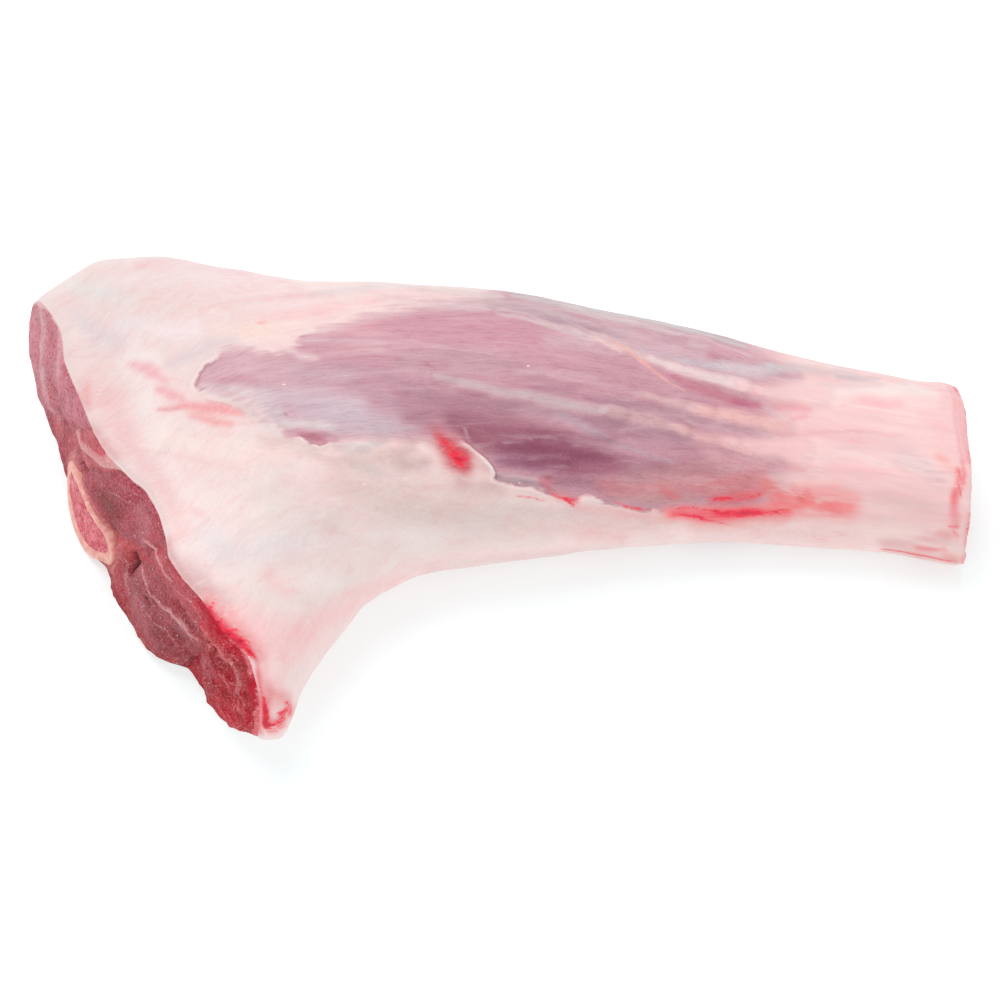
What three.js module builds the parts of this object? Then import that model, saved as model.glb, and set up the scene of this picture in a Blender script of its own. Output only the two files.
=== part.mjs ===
// Raw lamb shank: one piece of meat on the bone, lying on its side.
// Millimetres, +Z up. +X runs from the broad saw cut to the slim hock end,
// z = 0 is the surface that it lies on, and the origin is below its middle.
//
// The meat is a run of upright sections, each across the shank between two
// edges seen from above. t counts the sections from the cut (0) to the hock
// (1). A section is an uneven oval with a flat foot, and the sections of the
// cut lean and swell as the sawn face does.
import * as THREE from "three";

// ---------------------------------------------------------------- sizes
// Edges of the shank seen from above: [t, x, y].
const NEAR_EDGE = [
  [0.0, -55.4, -64.0], [0.05, -51.0, -63.9], [0.12, -46.9, -52.4],
  [0.21, -39.6, -39.0], [0.31, -29.6, -25.1], [0.41, -16.6, -17.3],
  [0.51, -0.1, -14.4], [0.61, 16.4, -11.2], [0.7, 33.4, -8.7],
  [0.79, 52.8, -6.5], [0.87, 71.8, -7.0], [0.93, 88.7, -7.7],
  [0.975, 103.1, -10.4], [1.0, 110.9, -12.4],
];
const FAR_EDGE = [
  [0.0, -114.7, 53.4], [0.05, -106.8, 59.0], [0.12, -97.9, 64.4],
  [0.21, -85.0, 64.5], [0.31, -68.0, 60.6], [0.41, -47.8, 56.4],
  [0.51, -24.5, 55.7], [0.61, -0.3, 54.6], [0.7, 22.6, 50.8],
  [0.79, 46.9, 46.3], [0.87, 68.7, 40.1], [0.93, 88.0, 35.5],
  [0.975, 103.4, 32.2], [1.0, 111.0, 32.2],
];
// What a section measures, by t.
const THICKNESS = [
  [0.0, 46.5], [0.12, 48.0], [0.21, 49.0], [0.41, 48.0], [0.61, 45.0],
  [0.79, 38.0], [0.93, 32.0], [1.0, 32.0],
];
const WIDEST_AT = [[0.0, 22], [0.41, 22], [0.7, 19], [0.93, 15], [1.0, 15]]; // height of the widest line
const BOW = [[0.0, 8.3], [0.05, 7.5], [0.12, 4.4], [0.31, 1.5], [0.41, 0], [0.87, 0], [0.93, -0.6], [0.975, -2.0], [1.0, -2.9]]; // bulge out of the section's plane
const LEAN = [[0.0, 0.18], [0.12, 0.1], [0.31, 0], [1.0, 0]]; // the cut's foot stands out further than its top
const CREST_SKEW = [[0.0, 0.28], [0.12, 0.24], [0.31, 0.09], [0.51, 0], [1.0, 0]]; // lower towards the far edge
const FOOT_TUCK = [[0.0, 0.5], [0.12, 0.3], [0.31, 0.05], [0.41, 0], [1.0, 0]]; // thinner under the near tip
const ROUND_TOP = [[0.0, 2.2], [0.7, 2.2], [0.93, 2.6], [1.0, 2.8]]; // exponent of the oval, 2 is an ellipse
const ROUND_FOOT = [[0.0, 2.4], [0.79, 2.4], [0.93, 2.6], [1.0, 2.8]];
const FOOT_REACH = 1.06; // the oval dips this far past the surface and is cut flat there
const FOOT_MORE = 0.6;

// Lumps and hollows of the sawn face along its lower edge: [across, height, half width],
// with "across" from -1 at the near tip to 1 at the far corner.
const LUMPS = [
  [-0.57, -4.2, 0.11], [-0.86, 1.2, 0.07], [-0.24, -0.6, 0.1],
  [0.02, -2.2, 0.07], [0.53, -3.1, 0.19], [0.78, -0.4, 0.12],
];
const LUMP_TOP = 30; // they fade out towards this height
const LUMP_FADE = 16;
const LUMP_RUN = 0.1; // and within this run of t

// Creases between the muscles of the upper side: plan points, depth, half width.
const CREASES = [
  { run: [[-20, 30], [15, 24], [40, 12], [62, 6]], depth: 0.9, width: 4.0 },
  { run: [[-28, 44], [12, 30], [50, 19], [80, 12]], depth: 0.7, width: 3.6 },
  { run: [[10, 46], [40, 38], [75, 28], [100, 22]], depth: 0.8, width: 3.6 },
  { run: [[-76, 26], [-66, 36], [-40, 12], [-5, 2], [28, -3]], depth: 0.5, width: 3.0 },
];

// The bone: its middle across the section, its height and its half sizes, by t.
const BONE_ACROSS = [[0.0, 13.2], [0.12, 5.0], [0.21, -1.5], [0.31, -6.0], [0.5, -5.6], [0.7, -5.0], [0.87, -3.0], [1.0, 0]];
const BONE_HEIGHT = [[0.0, 9.6], [0.12, 13.0], [0.3, 18.0], [0.5, 19.0], [0.8, 16.5], [1.0, 15.5]];
const BONE_HALF_ACROSS = [[0.0, 14.6], [0.12, 11.0], [0.3, 8.2], [0.6, 7.8], [0.85, 9.5], [1.0, 12.0]];
const BONE_HALF_HIGH = [[0.0, 8.8], [0.12, 8.0], [0.3, 7.6], [0.6, 7.2], [0.85, 7.6], [1.0, 8.6]];
const BONE_PROUD = 1.2; // how far the bone stands out of the sawn face
const GAP = 0.3; // between the bone and the meat round it

// Puts the origin below the middle of the whole.
const CENTRE_X = -0.81;
const CENTRE_Y = 0.25;

// ------------------------------------------------------------- the form
// A smooth curve through [t, value, ...] rows that never overshoots them.
function through(rows, column = 1) {
  const n = rows.length;
  const x = rows.map((r) => r[0]);
  const y = rows.map((r) => r[column]);
  const h = [];
  const d = [];
  for (let k = 0; k < n - 1; k++) {
    h.push(x[k + 1] - x[k]);
    d.push((y[k + 1] - y[k]) / h[k]);
  }
  const end = (h0, h1, d0, d1) => {
    const m = ((2 * h0 + h1) * d0 - h0 * d1) / (h0 + h1);
    if (m * d0 <= 0) return 0;
    return d0 * d1 <= 0 && Math.abs(m) > 3 * Math.abs(d0) ? 3 * d0 : m;
  };
  const m = [n > 2 ? end(h[0], h[1], d[0], d[1]) : d[0]];
  for (let k = 1; k < n - 1; k++) {
    const w1 = 2 * h[k] + h[k - 1];
    const w2 = h[k] + 2 * h[k - 1];
    m.push(d[k - 1] * d[k] <= 0 ? 0 : (w1 + w2) / (w1 / d[k - 1] + w2 / d[k]));
  }
  m.push(n > 2 ? end(h[n - 2], h[n - 3], d[n - 2], d[n - 3]) : d[0]);
  return (t) => {
    let k = 0;
    while (k < n - 2 && t > x[k + 1]) k++;
    const s = (t - x[k]) / h[k];
    const s2 = s * s;
    const s3 = s2 * s;
    return (
      (2 * s3 - 3 * s2 + 1) * y[k] + (s3 - 2 * s2 + s) * h[k] * m[k] +
      (3 * s2 - 2 * s3) * y[k + 1] + (s3 - s2) * h[k] * m[k + 1]
    );
  };
}

const nearX = through(NEAR_EDGE, 1), nearY = through(NEAR_EDGE, 2);
const farX = through(FAR_EDGE, 1), farY = through(FAR_EDGE, 2);
const thickness = through(THICKNESS), widestAt = through(WIDEST_AT);
const bow = through(BOW), lean = through(LEAN);
const crestSkew = through(CREST_SKEW), footTuck = through(FOOT_TUCK);
const roundTop = through(ROUND_TOP), roundFoot = through(ROUND_FOOT);
const boneAcross = through(BONE_ACROSS), boneHeight = through(BONE_HEIGHT);
const boneHalfAcross = through(BONE_HALF_ACROSS), boneHalfHigh = through(BONE_HALF_HIGH);

const ease = (s) => { const c = Math.min(1, Math.max(0, s)); return c * c * (3 - 2 * c); };
const signedPower = (v, p) => Math.sign(v) * Math.pow(Math.abs(v), p);

// How far a plan point lies from a run of plan points.
function distanceTo(run, x, y) {
  let best = Infinity;
  for (let k = 0; k < run.length - 1; k++) {
    const [ax, ay] = run[k], [bx, by] = run[k + 1];
    const dx = bx - ax, dy = by - ay;
    const s = Math.min(1, Math.max(0, ((x - ax) * dx + (y - ay) * dy) / (dx * dx + dy * dy)));
    best = Math.min(best, Math.hypot(x - ax - s * dx, y - ay - s * dy));
  }
  return best;
}

// A point of section t, from its place across the section and its height, and
// how far it stands out of the section.
function place(t, across, z, stand = 0) {
  const nx = nearX(t), ny = nearY(t), fx = farX(t), fy = farY(t);
  const chord = Math.hypot(fx - nx, fy - ny);
  const ex = (fx - nx) / chord, ey = (fy - ny) / chord;
  const u = across / (chord / 2);
  let out = bow(t) * (1 - u * u) - lean(t) * (z - widestAt(t)) + stand;
  const lump = LUMPS.reduce((sum, [at, high, wide]) => sum + high * Math.exp(-(((u - at) / wide) ** 2)), 0);
  out += lump * ease((LUMP_TOP - z) / LUMP_FADE) * ease(1 - t / LUMP_RUN);
  return new THREE.Vector3(
    (nx + fx) / 2 + ex * across - ey * out,
    (ny + fy) / 2 + ey * across + ex * out,
    z,
  );
}

// The oval of section t at an angle: 0 is the far edge, a quarter turn the top.
function rim(t, angle) {
  const half = Math.hypot(farX(t) - nearX(t), farY(t) - nearY(t)) / 2;
  const cos = Math.cos(angle), sin = Math.sin(angle);
  const power = 2 / (sin >= 0 ? roundTop(t) : roundFoot(t));
  const u = signedPower(cos, power), v = signedPower(sin, power);
  const zm = widestAt(t);
  const z = sin >= 0
    ? zm + (thickness(t) - zm) * v * (1 - crestSkew(t) * u)
    : zm + (zm * FOOT_REACH + FOOT_MORE) * v * (1 + footTuck(t) * 1.3 * Math.min(u + 0.15, 0));
  return { across: half * u, z: Math.max(0, z), rise: Math.max(0, v) };
}

// The skin side, with the creases between the muscles.
function skin(t, angle) {
  const { across, z, rise } = rim(t, angle);
  const p = place(t, across, z);
  const depth = CREASES.reduce(
    (sum, c) => sum + c.depth * Math.exp(-((distanceTo(c.run, p.x, p.y) / c.width) ** 2)), 0);
  p.z -= depth * ease(rise * 2) * ease(t / 0.08) * ease((1 - t) / 0.06);
  return p;
}

// The bone's oval, or that of its channel when it is grown by the gap.
function boneRim(t, angle, grow, scale = 1) {
  return {
    across: boneAcross(t) + (boneHalfAcross(t) + grow) * Math.cos(angle) * scale,
    z: boneHeight(t) + (boneHalfHigh(t) + grow) * Math.sin(angle) * scale,
  };
}

// A closed body from rings of points: a turned shape whose points are then
// moved to where point(ring, angle) puts them.
function closedBody(rings, segments, point) {
  const profile = rings.map((_, j) => new THREE.Vector2(1, j));
  const body = new THREE.LatheGeometry(profile, segments);
  const where = body.getAttribute("position");
  for (let i = 0, v = 0; i <= segments; i++) {
    const angle = ((i % segments) / segments) * 2 * Math.PI;
    for (let j = 0; j < rings.length; j++, v++) {
      const p = point(rings[j], angle);
      where.setXYZ(v, p.x - CENTRE_X, p.y - CENTRE_Y, p.z);
    }
  }
  body.computeVertexNormals();
  return body;
}

const span = (from, to, steps) => Array.from({ length: steps + 1 }, (_, k) => from + ((to - from) * k) / steps);

// ------------------------------------------------------------- the nodes
const shank = new THREE.Group();

// The meat: skin side, hock end, the channel that the bone runs in, sawn face.
const sideStations = [...span(0, 0.12, 8), ...span(0.15, 0.93, 25), ...span(0.95, 1, 4)];
const boneStations = [...span(0, 0.12, 3), ...span(0.2, 0.84, 7), ...span(0.92, 1, 2)];
const faceSteps = 6, hockSteps = 3;
const onFace = (t, s) => (angle) => {
  const outer = rim(t, angle), inner = boneRim(t, angle, GAP);
  const across = outer.across + (inner.across - outer.across) * s;
  return place(t, across, outer.z + (inner.z - outer.z) * s);
};
const meatRings = [
  ...sideStations.map((t) => (angle) => skin(t, angle)),
  ...span(1 / hockSteps, 1 - 1 / hockSteps, hockSteps - 2).map((s) => onFace(1, s)),
  ...[...boneStations].reverse().map((t) => (angle) => {
    const { across, z } = boneRim(t, angle, GAP);
    return place(t, across, z);
  }),
  ...span(1 - 1 / faceSteps, 1 / faceSteps, faceSteps - 2).map((s) => onFace(0, s)),
  (angle) => skin(0, angle),
];
const meat = new THREE.Mesh(
  closedBody(meatRings, 60, (ring, angle) => ring(angle)),
  new THREE.MeshStandardMaterial({ color: 0xe2bcc0, roughness: 0.42, metalness: 0 }),
);
meat.name = "meat";
shank.add(meat);

// The bone, from the sawn face to the hock end.
const boneRings = [
  ...[0, 0.5, 1].map((scale) => (angle) => ({ t: 0, stand: BONE_PROUD, ...boneRim(0, angle, 0, scale) })),
  ...boneStations.slice(1).map((t) => (angle) => ({ t, ...boneRim(t, angle, 0) })),
  ...[0.5, 0].map((scale) => (angle) => ({ t: 1, ...boneRim(1, angle, 0, scale) })),
];
const bone = new THREE.Mesh(
  closedBody(boneRings, 32, (ring, angle) => {
    const { t, across, z, stand } = ring(angle);
    return place(t, across, z, stand);
  }),
  new THREE.MeshStandardMaterial({ color: 0xe0a9a2, roughness: 0.5, metalness: 0 }),
);
bone.name = "bone";
shank.add(bone);

export default shank;
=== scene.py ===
import math

import bpy
import numpy as np
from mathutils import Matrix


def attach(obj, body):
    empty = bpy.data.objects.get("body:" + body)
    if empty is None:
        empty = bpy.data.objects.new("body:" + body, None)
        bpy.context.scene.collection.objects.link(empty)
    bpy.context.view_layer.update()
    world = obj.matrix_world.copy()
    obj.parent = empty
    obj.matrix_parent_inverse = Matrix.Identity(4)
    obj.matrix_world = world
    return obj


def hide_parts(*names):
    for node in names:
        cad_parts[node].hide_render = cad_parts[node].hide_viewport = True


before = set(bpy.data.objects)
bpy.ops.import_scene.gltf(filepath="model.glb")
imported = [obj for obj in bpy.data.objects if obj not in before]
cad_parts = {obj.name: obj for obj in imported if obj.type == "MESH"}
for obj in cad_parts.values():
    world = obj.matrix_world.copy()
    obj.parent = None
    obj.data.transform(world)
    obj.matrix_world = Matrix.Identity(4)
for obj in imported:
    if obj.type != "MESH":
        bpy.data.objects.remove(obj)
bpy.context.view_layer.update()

MM = 0.001
rng = np.random.default_rng(7)

# ------------------------------------------------------------------ the form
# The same station table as the solids, in millimetres. t runs from the sawn
# face (0) to the hock end (1). The last shift puts the origin below the middle.
CENTRE = np.array([-0.81, 0.25, 0.0])
NEAR = np.array([
    [0.0, -55.4, -64.0], [0.05, -51.0, -63.9], [0.12, -46.9, -52.4], [0.21, -39.6, -39.0],
    [0.31, -29.6, -25.1], [0.41, -16.6, -17.3], [0.51, -0.1, -14.4], [0.61, 16.4, -11.2],
    [0.7, 33.4, -8.7], [0.79, 52.8, -6.5], [0.87, 71.8, -7.0], [0.93, 88.7, -7.7],
    [0.975, 103.1, -10.4], [1.0, 110.9, -12.4]])
FAR = np.array([
    [0.0, -114.7, 53.4], [0.05, -106.8, 59.0], [0.12, -97.9, 64.4], [0.21, -85.0, 64.5],
    [0.31, -68.0, 60.6], [0.41, -47.8, 56.4], [0.51, -24.5, 55.7], [0.61, -0.3, 54.6],
    [0.7, 22.6, 50.8], [0.79, 46.9, 46.3], [0.87, 68.7, 40.1], [0.93, 88.0, 35.5],
    [0.975, 103.4, 32.2], [1.0, 111.0, 32.2]])
THICK = [(0, 46.5), (0.12, 48), (0.21, 49), (0.41, 48), (0.61, 45), (0.79, 38), (0.93, 32), (1, 32)]
WIDEST = [(0, 22), (0.41, 22), (0.7, 19), (0.93, 15), (1, 15)]
BOW = [(0, 8.3), (0.05, 7.5), (0.12, 4.4), (0.31, 1.5), (0.41, 0), (0.87, 0), (0.93, -0.6), (0.975, -2.0), (1, -2.9)]
LEAN = [(0, 0.18), (0.12, 0.1), (0.31, 0), (1, 0)]
SKEW = [(0, 0.28), (0.12, 0.24), (0.31, 0.09), (0.51, 0), (1, 0)]
TUCK = [(0, 0.5), (0.12, 0.3), (0.31, 0.05), (0.41, 0), (1, 0)]
ROUND_TOP = [(0, 2.2), (0.7, 2.2), (0.93, 2.6), (1, 2.8)]
ROUND_FOOT = [(0, 2.4), (0.79, 2.4), (0.93, 2.6), (1, 2.8)]
LUMPS = [(-0.57, -4.2, 0.11), (-0.86, 1.2, 0.07), (-0.24, -0.6, 0.10), (0.02, -2.2, 0.07), (0.53, -3.1, 0.19), (0.78, -0.4, 0.12)]
BONE_ACROSS = [(0, 13.2), (0.12, 5.0), (0.21, -1.5), (0.31, -6.0), (0.5, -5.6), (0.7, -5.0), (0.87, -3.0), (1, 0)]
BONE_HEIGHT = [(0, 9.6), (0.12, 13.0), (0.3, 18.0), (0.5, 19.0), (0.8, 16.5), (1, 15.5)]
BONE_HALF_ACROSS = [(0, 14.6), (0.12, 11.0), (0.3, 8.2), (0.6, 7.8), (0.85, 9.5), (1, 12.0)]
BONE_HALF_HIGH = [(0, 8.8), (0.12, 8.0), (0.3, 7.6), (0.6, 7.2), (0.85, 7.6), (1, 8.6)]
BONE_PROUD = 1.2
SEAT = 0.08  # between the bone and the flesh round it
# How far the upper rim of the sawn face stands out of its plane or back: (across, mm).
RIM_WAVE = [(-65.8, 1.7), (-64.0, 0.9), (-61.6, 0.2), (-58.7, -0.4), (-55.8, -1.0), (-52.2, -0.2), (-47.5, 1.3),
            (-40.5, 1.4), (-36.0, 1.9), (-31.7, 2.4), (-26.7, 2.3), (-23.6, 1.1), (-19.1, -0.4), (-13.3, -1.6),
            (-7.9, -1.8), (-3.6, -0.5), (0.8, 0.5), (6.4, 1.5), (12.2, 1.7), (23.4, 0.8), (30.3, 0.5), (38.3, 0.0),
            (42.8, -1.2), (49.1, -2.2), (58.1, -1.6), (65.8, -0.4)]
# How far the hock's cut end is set back from its plane: (across, mm).
HOCK_WAVE = [(-24, -0.3), (-19.8, -0.3), (-16.6, 0.3), (-12.5, 0.8), (-7.6, 1.1), (-2.7, 1.7), (2.9, 2.0), (11.9, 1.8), (24, 1.9)]


def through(rows, column=1):
    """A smooth curve through (t, value) rows that never overshoots them."""
    rows = np.asarray(rows, float)
    x, y = rows[:, 0], rows[:, column]
    h = np.diff(x)
    d = np.diff(y) / h

    def end(h0, h1, d0, d1):
        m = ((2 * h0 + h1) * d0 - h0 * d1) / (h0 + h1)
        if m * d0 <= 0:
            return 0.0
        return 3 * d0 if d0 * d1 <= 0 and abs(m) > 3 * abs(d0) else m

    m = np.zeros(len(x))
    m[0], m[-1] = end(h[0], h[1], d[0], d[1]), end(h[-1], h[-2], d[-1], d[-2])
    for k in range(1, len(x) - 1):
        if d[k - 1] * d[k] > 0:
            w1, w2 = 2 * h[k] + h[k - 1], h[k] + 2 * h[k - 1]
            m[k] = (w1 + w2) / (w1 / d[k - 1] + w2 / d[k])

    def f(t):
        t = np.asarray(t, float)
        k = np.clip(np.searchsorted(x, t, side="left") - 1, 0, len(x) - 2)
        s = (t - x[k]) / h[k]
        s2, s3 = s * s, s * s * s
        return ((2 * s3 - 3 * s2 + 1) * y[k] + (s3 - 2 * s2 + s) * h[k] * m[k]
                + (3 * s2 - 2 * s3) * y[k + 1] + (s3 - s2) * h[k] * m[k + 1])
    return f


near_x, near_y, far_x, far_y = through(NEAR, 1), through(NEAR, 2), through(FAR, 1), through(FAR, 2)
thick, widest, bow, lean = through(THICK), through(WIDEST), through(BOW), through(LEAN)
skew, tuck, round_top, round_foot = through(SKEW), through(TUCK), through(ROUND_TOP), through(ROUND_FOOT)
bone_c, bone_z = through(BONE_ACROSS), through(BONE_HEIGHT)
bone_rc, bone_rz = through(BONE_HALF_ACROSS), through(BONE_HALF_HIGH)
rim_wave = through(RIM_WAVE)
hock_wave = through(HOCK_WAVE)


def ease(s):
    s = np.clip(s, 0, 1)
    return s * s * (3 - 2 * s)


def step(lo, hi, v):
    return ease((v - lo) / (hi - lo))


def spow(v, p):
    return np.sign(v) * np.abs(v) ** p


def half_chord(t):
    return np.hypot(far_x(t) - near_x(t), far_y(t) - near_y(t)) / 2


HOCK_RUN = float(np.sum(np.hypot(*np.diff(np.stack([
    (near_x(np.linspace(0, 1, 2001)) + far_x(np.linspace(0, 1, 2001))) / 2,
    (near_y(np.linspace(0, 1, 2001)) + far_y(np.linspace(0, 1, 2001))) / 2]), axis=1))))  # way along to the hock end, mm


def place(t, c, z, out=0.0):
    """A point of section t (mm), from its place across it, its height and how far it stands out of it."""
    t, c, z = np.broadcast_arrays(np.asarray(t, float), np.asarray(c, float), np.asarray(z, float))
    nx, ny, fx, fy = near_x(t), near_y(t), far_x(t), far_y(t)
    chord = np.hypot(fx - nx, fy - ny)
    ex, ey = (fx - nx) / chord, (fy - ny) / chord
    u = c / (chord / 2)
    o = bow(t) * (1 - u * u) - lean(t) * (z - widest(t))
    lump = sum(high * np.exp(-((u - at) / wide) ** 2) for at, high, wide in LUMPS)
    o = o + lump * ease((30 - z) / 16) * ease(1 - t / 0.1) + out
    return np.stack([(nx + fx) / 2 + ex * c - ey * o, (ny + fy) / 2 + ey * c + ex * o, z], -1)


def rim(t, angle):
    t, angle = np.broadcast_arrays(t, angle)
    cs, sn = np.cos(angle), np.sin(angle)
    p = 2 / np.where(sn >= 0, round_top(t), round_foot(t))
    u, v = spow(cs, p), spow(sn, p)
    zm = widest(t)
    z = np.where(sn >= 0, zm + (thick(t) - zm) * v * (1 - skew(t) * u),
                 zm + (zm * 1.06 + 0.6) * v * (1 + tuck(t) * 1.3 * np.minimum(u + 0.15, 0)))
    return half_chord(t) * u, np.maximum(z, 0)


# ------------------------------------------------------- the photograph's view
ELEV = math.radians(60.0)
DIST = 1400.0
LENS = 210.0
FPX = LENS / 36.0 * 1000.0
TARGET = np.array([0.0, 0.0, 20.0])
CAM_DIR = np.array([0.0, -math.cos(ELEV), math.sin(ELEV)])
CAM_UP = np.array([0.0, math.sin(ELEV), math.cos(ELEV)])
CAM_AT = TARGET + CAM_DIR * DIST


def in_view(p):
    """Where a point (mm, before the last shift) lies in the 1000 x 1000 frame."""
    v = p - CAM_AT
    dep = -(v @ CAM_DIR)
    return 500 + FPX * v[..., 0] / dep, 500 - FPX * (v @ CAM_UP) / dep


# ------------------------------------------------------------------- noise
def _hash(ix, iy, iz, seed):
    h = (ix.astype(np.uint32) * np.uint32(374761393) + iy.astype(np.uint32) * np.uint32(668265263)
         + iz.astype(np.uint32) * np.uint32(2246822519) + np.uint32(seed * 3266489917 % 4294967296))
    h = (h ^ (h >> np.uint32(13))) * np.uint32(1274126177)
    h = (h ^ (h >> np.uint32(16))) * np.uint32(2654435761)
    return ((h ^ (h >> np.uint32(15))) & np.uint32(0xFFFFFF)).astype(np.float64) / 0x7FFFFF - 1.0


def noise(p, size, seed=0):
    """Smooth value noise in -1..1 at points p (.., 3), with features of about size."""
    q = np.asarray(p, float) / size
    i = np.floor(q).astype(np.int64)
    f = q - i
    f = f * f * f * (f * (f * 6 - 15) + 10)
    out = 0.0
    for dx in (0, 1):
        for dy in (0, 1):
            for dz in (0, 1):
                w = ((f[..., 0] if dx else 1 - f[..., 0]) * (f[..., 1] if dy else 1 - f[..., 1])
                     * (f[..., 2] if dz else 1 - f[..., 2]))
                out = out + w * _hash(i[..., 0] + dx, i[..., 1] + dy, i[..., 2] + dz, seed)
    return out


def fbm(p, size, octaves=3, seed=0):
    total, amp, norm = 0.0, 1.0, 0.0
    for k in range(octaves):
        total = total + amp * noise(p, size / 2 ** k, seed + 17 * k)
        norm += amp
        amp *= 0.5
    return total / norm


# What gloss adds to a colour, and how bright the light is: on the skin and on the cut faces.
VEIL, LIT = 0.045, 1.06
VEIL_CUT, LIT_CUT = 0.06, 0.83


def linear(r, g, b):
    v = np.array([r, g, b], float) / 255
    return np.where(v <= 0.04045, v / 12.92, ((v + 0.055) / 1.055) ** 2.4)


def srgb(r, g, b):
    """The surface's own colour, from how it looks lit and moist."""
    return np.clip((linear(r, g, b) - VEIL) / LIT, 0.004, 0.94)


def cut(r, g, b):
    """The same for a cut face."""
    return np.clip((linear(r, g, b) - VEIL_CUT) / LIT_CUT, 0.004, 0.94)


def polyline_gap(x, y, run):
    """Signed distance to a run of round-ended strokes: run holds (x, y, half width)."""
    best = np.full(np.shape(x), 1e9)
    if len(run) == 1:
        return np.hypot(x - run[0][0], y - run[0][1]) - run[0][2]
    for (ax, ay, aw), (bx, by, bw) in zip(run[:-1], run[1:]):
        dx, dy = bx - ax, by - ay
        s = np.clip(((x - ax) * dx + (y - ay) * dy) / (dx * dx + dy * dy), 0, 1)
        best = np.minimum(best, np.hypot(x - ax - s * dx, y - ay - s * dy) - (aw + (bw - aw) * s))
    return best


def stroke(x, y, run, soft):
    return step(soft, -soft, polyline_gap(x, y, run))


def polygon_gap(x, y, pts):
    """Signed distance to a closed outline, positive outside it."""
    d = polyline_gap(x, y, [(a, b, 0.0) for a, b in pts + pts[:1]])
    inside = np.zeros(np.shape(x), bool)
    for (ax, ay), (bx, by) in zip(pts, pts[1:] + pts[:1]):
        cross = (ay > y) != (by > y)
        with np.errstate(divide="ignore", invalid="ignore"):
            inside ^= cross & (x < (bx - ax) * (y - ay) / (by - ay + 1e-12) + ax)
    return np.where(inside, -d, d)


# ------------------------------------------------- what shows on the skin side
# Places are in the photograph's frame. Strokes are (x, y, half width) runs.
WINDOW = [(193, 386), (197, 380), (200, 373), (205, 367), (212, 362), (218, 356), (222, 350), (228, 346), (240, 347),
          (252, 350), (264, 353), (276, 354), (288, 350), (296, 344), (303, 337), (312, 334), (322, 331), (338, 327),
          (356, 320), (372, 314), (388, 310), (404, 307), (424, 304), (450, 301), (480, 297), (520, 270), (1030, 270),
          (1030, 590), (905, 572), (884, 548), (868, 534), (840, 523), (800, 517), (766, 519), (725, 521), (674, 513),
          (653, 511), (623, 507), (609, 505), (602, 499), (590, 496), (578, 499), (570, 504), (556, 495), (541, 491),
          (521, 487), (502, 482), (493, 479), (496, 473), (493, 466), (482, 456), (472, 447), (462, 441), (440, 438),
          (408, 440), (375, 440), (345, 439), (332, 441), (320, 447), (310, 443), (300, 438), (288, 436), (276, 428),
          (266, 422), (256, 413), (246, 403), (232, 397), (214, 392), (200, 390)]
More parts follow.
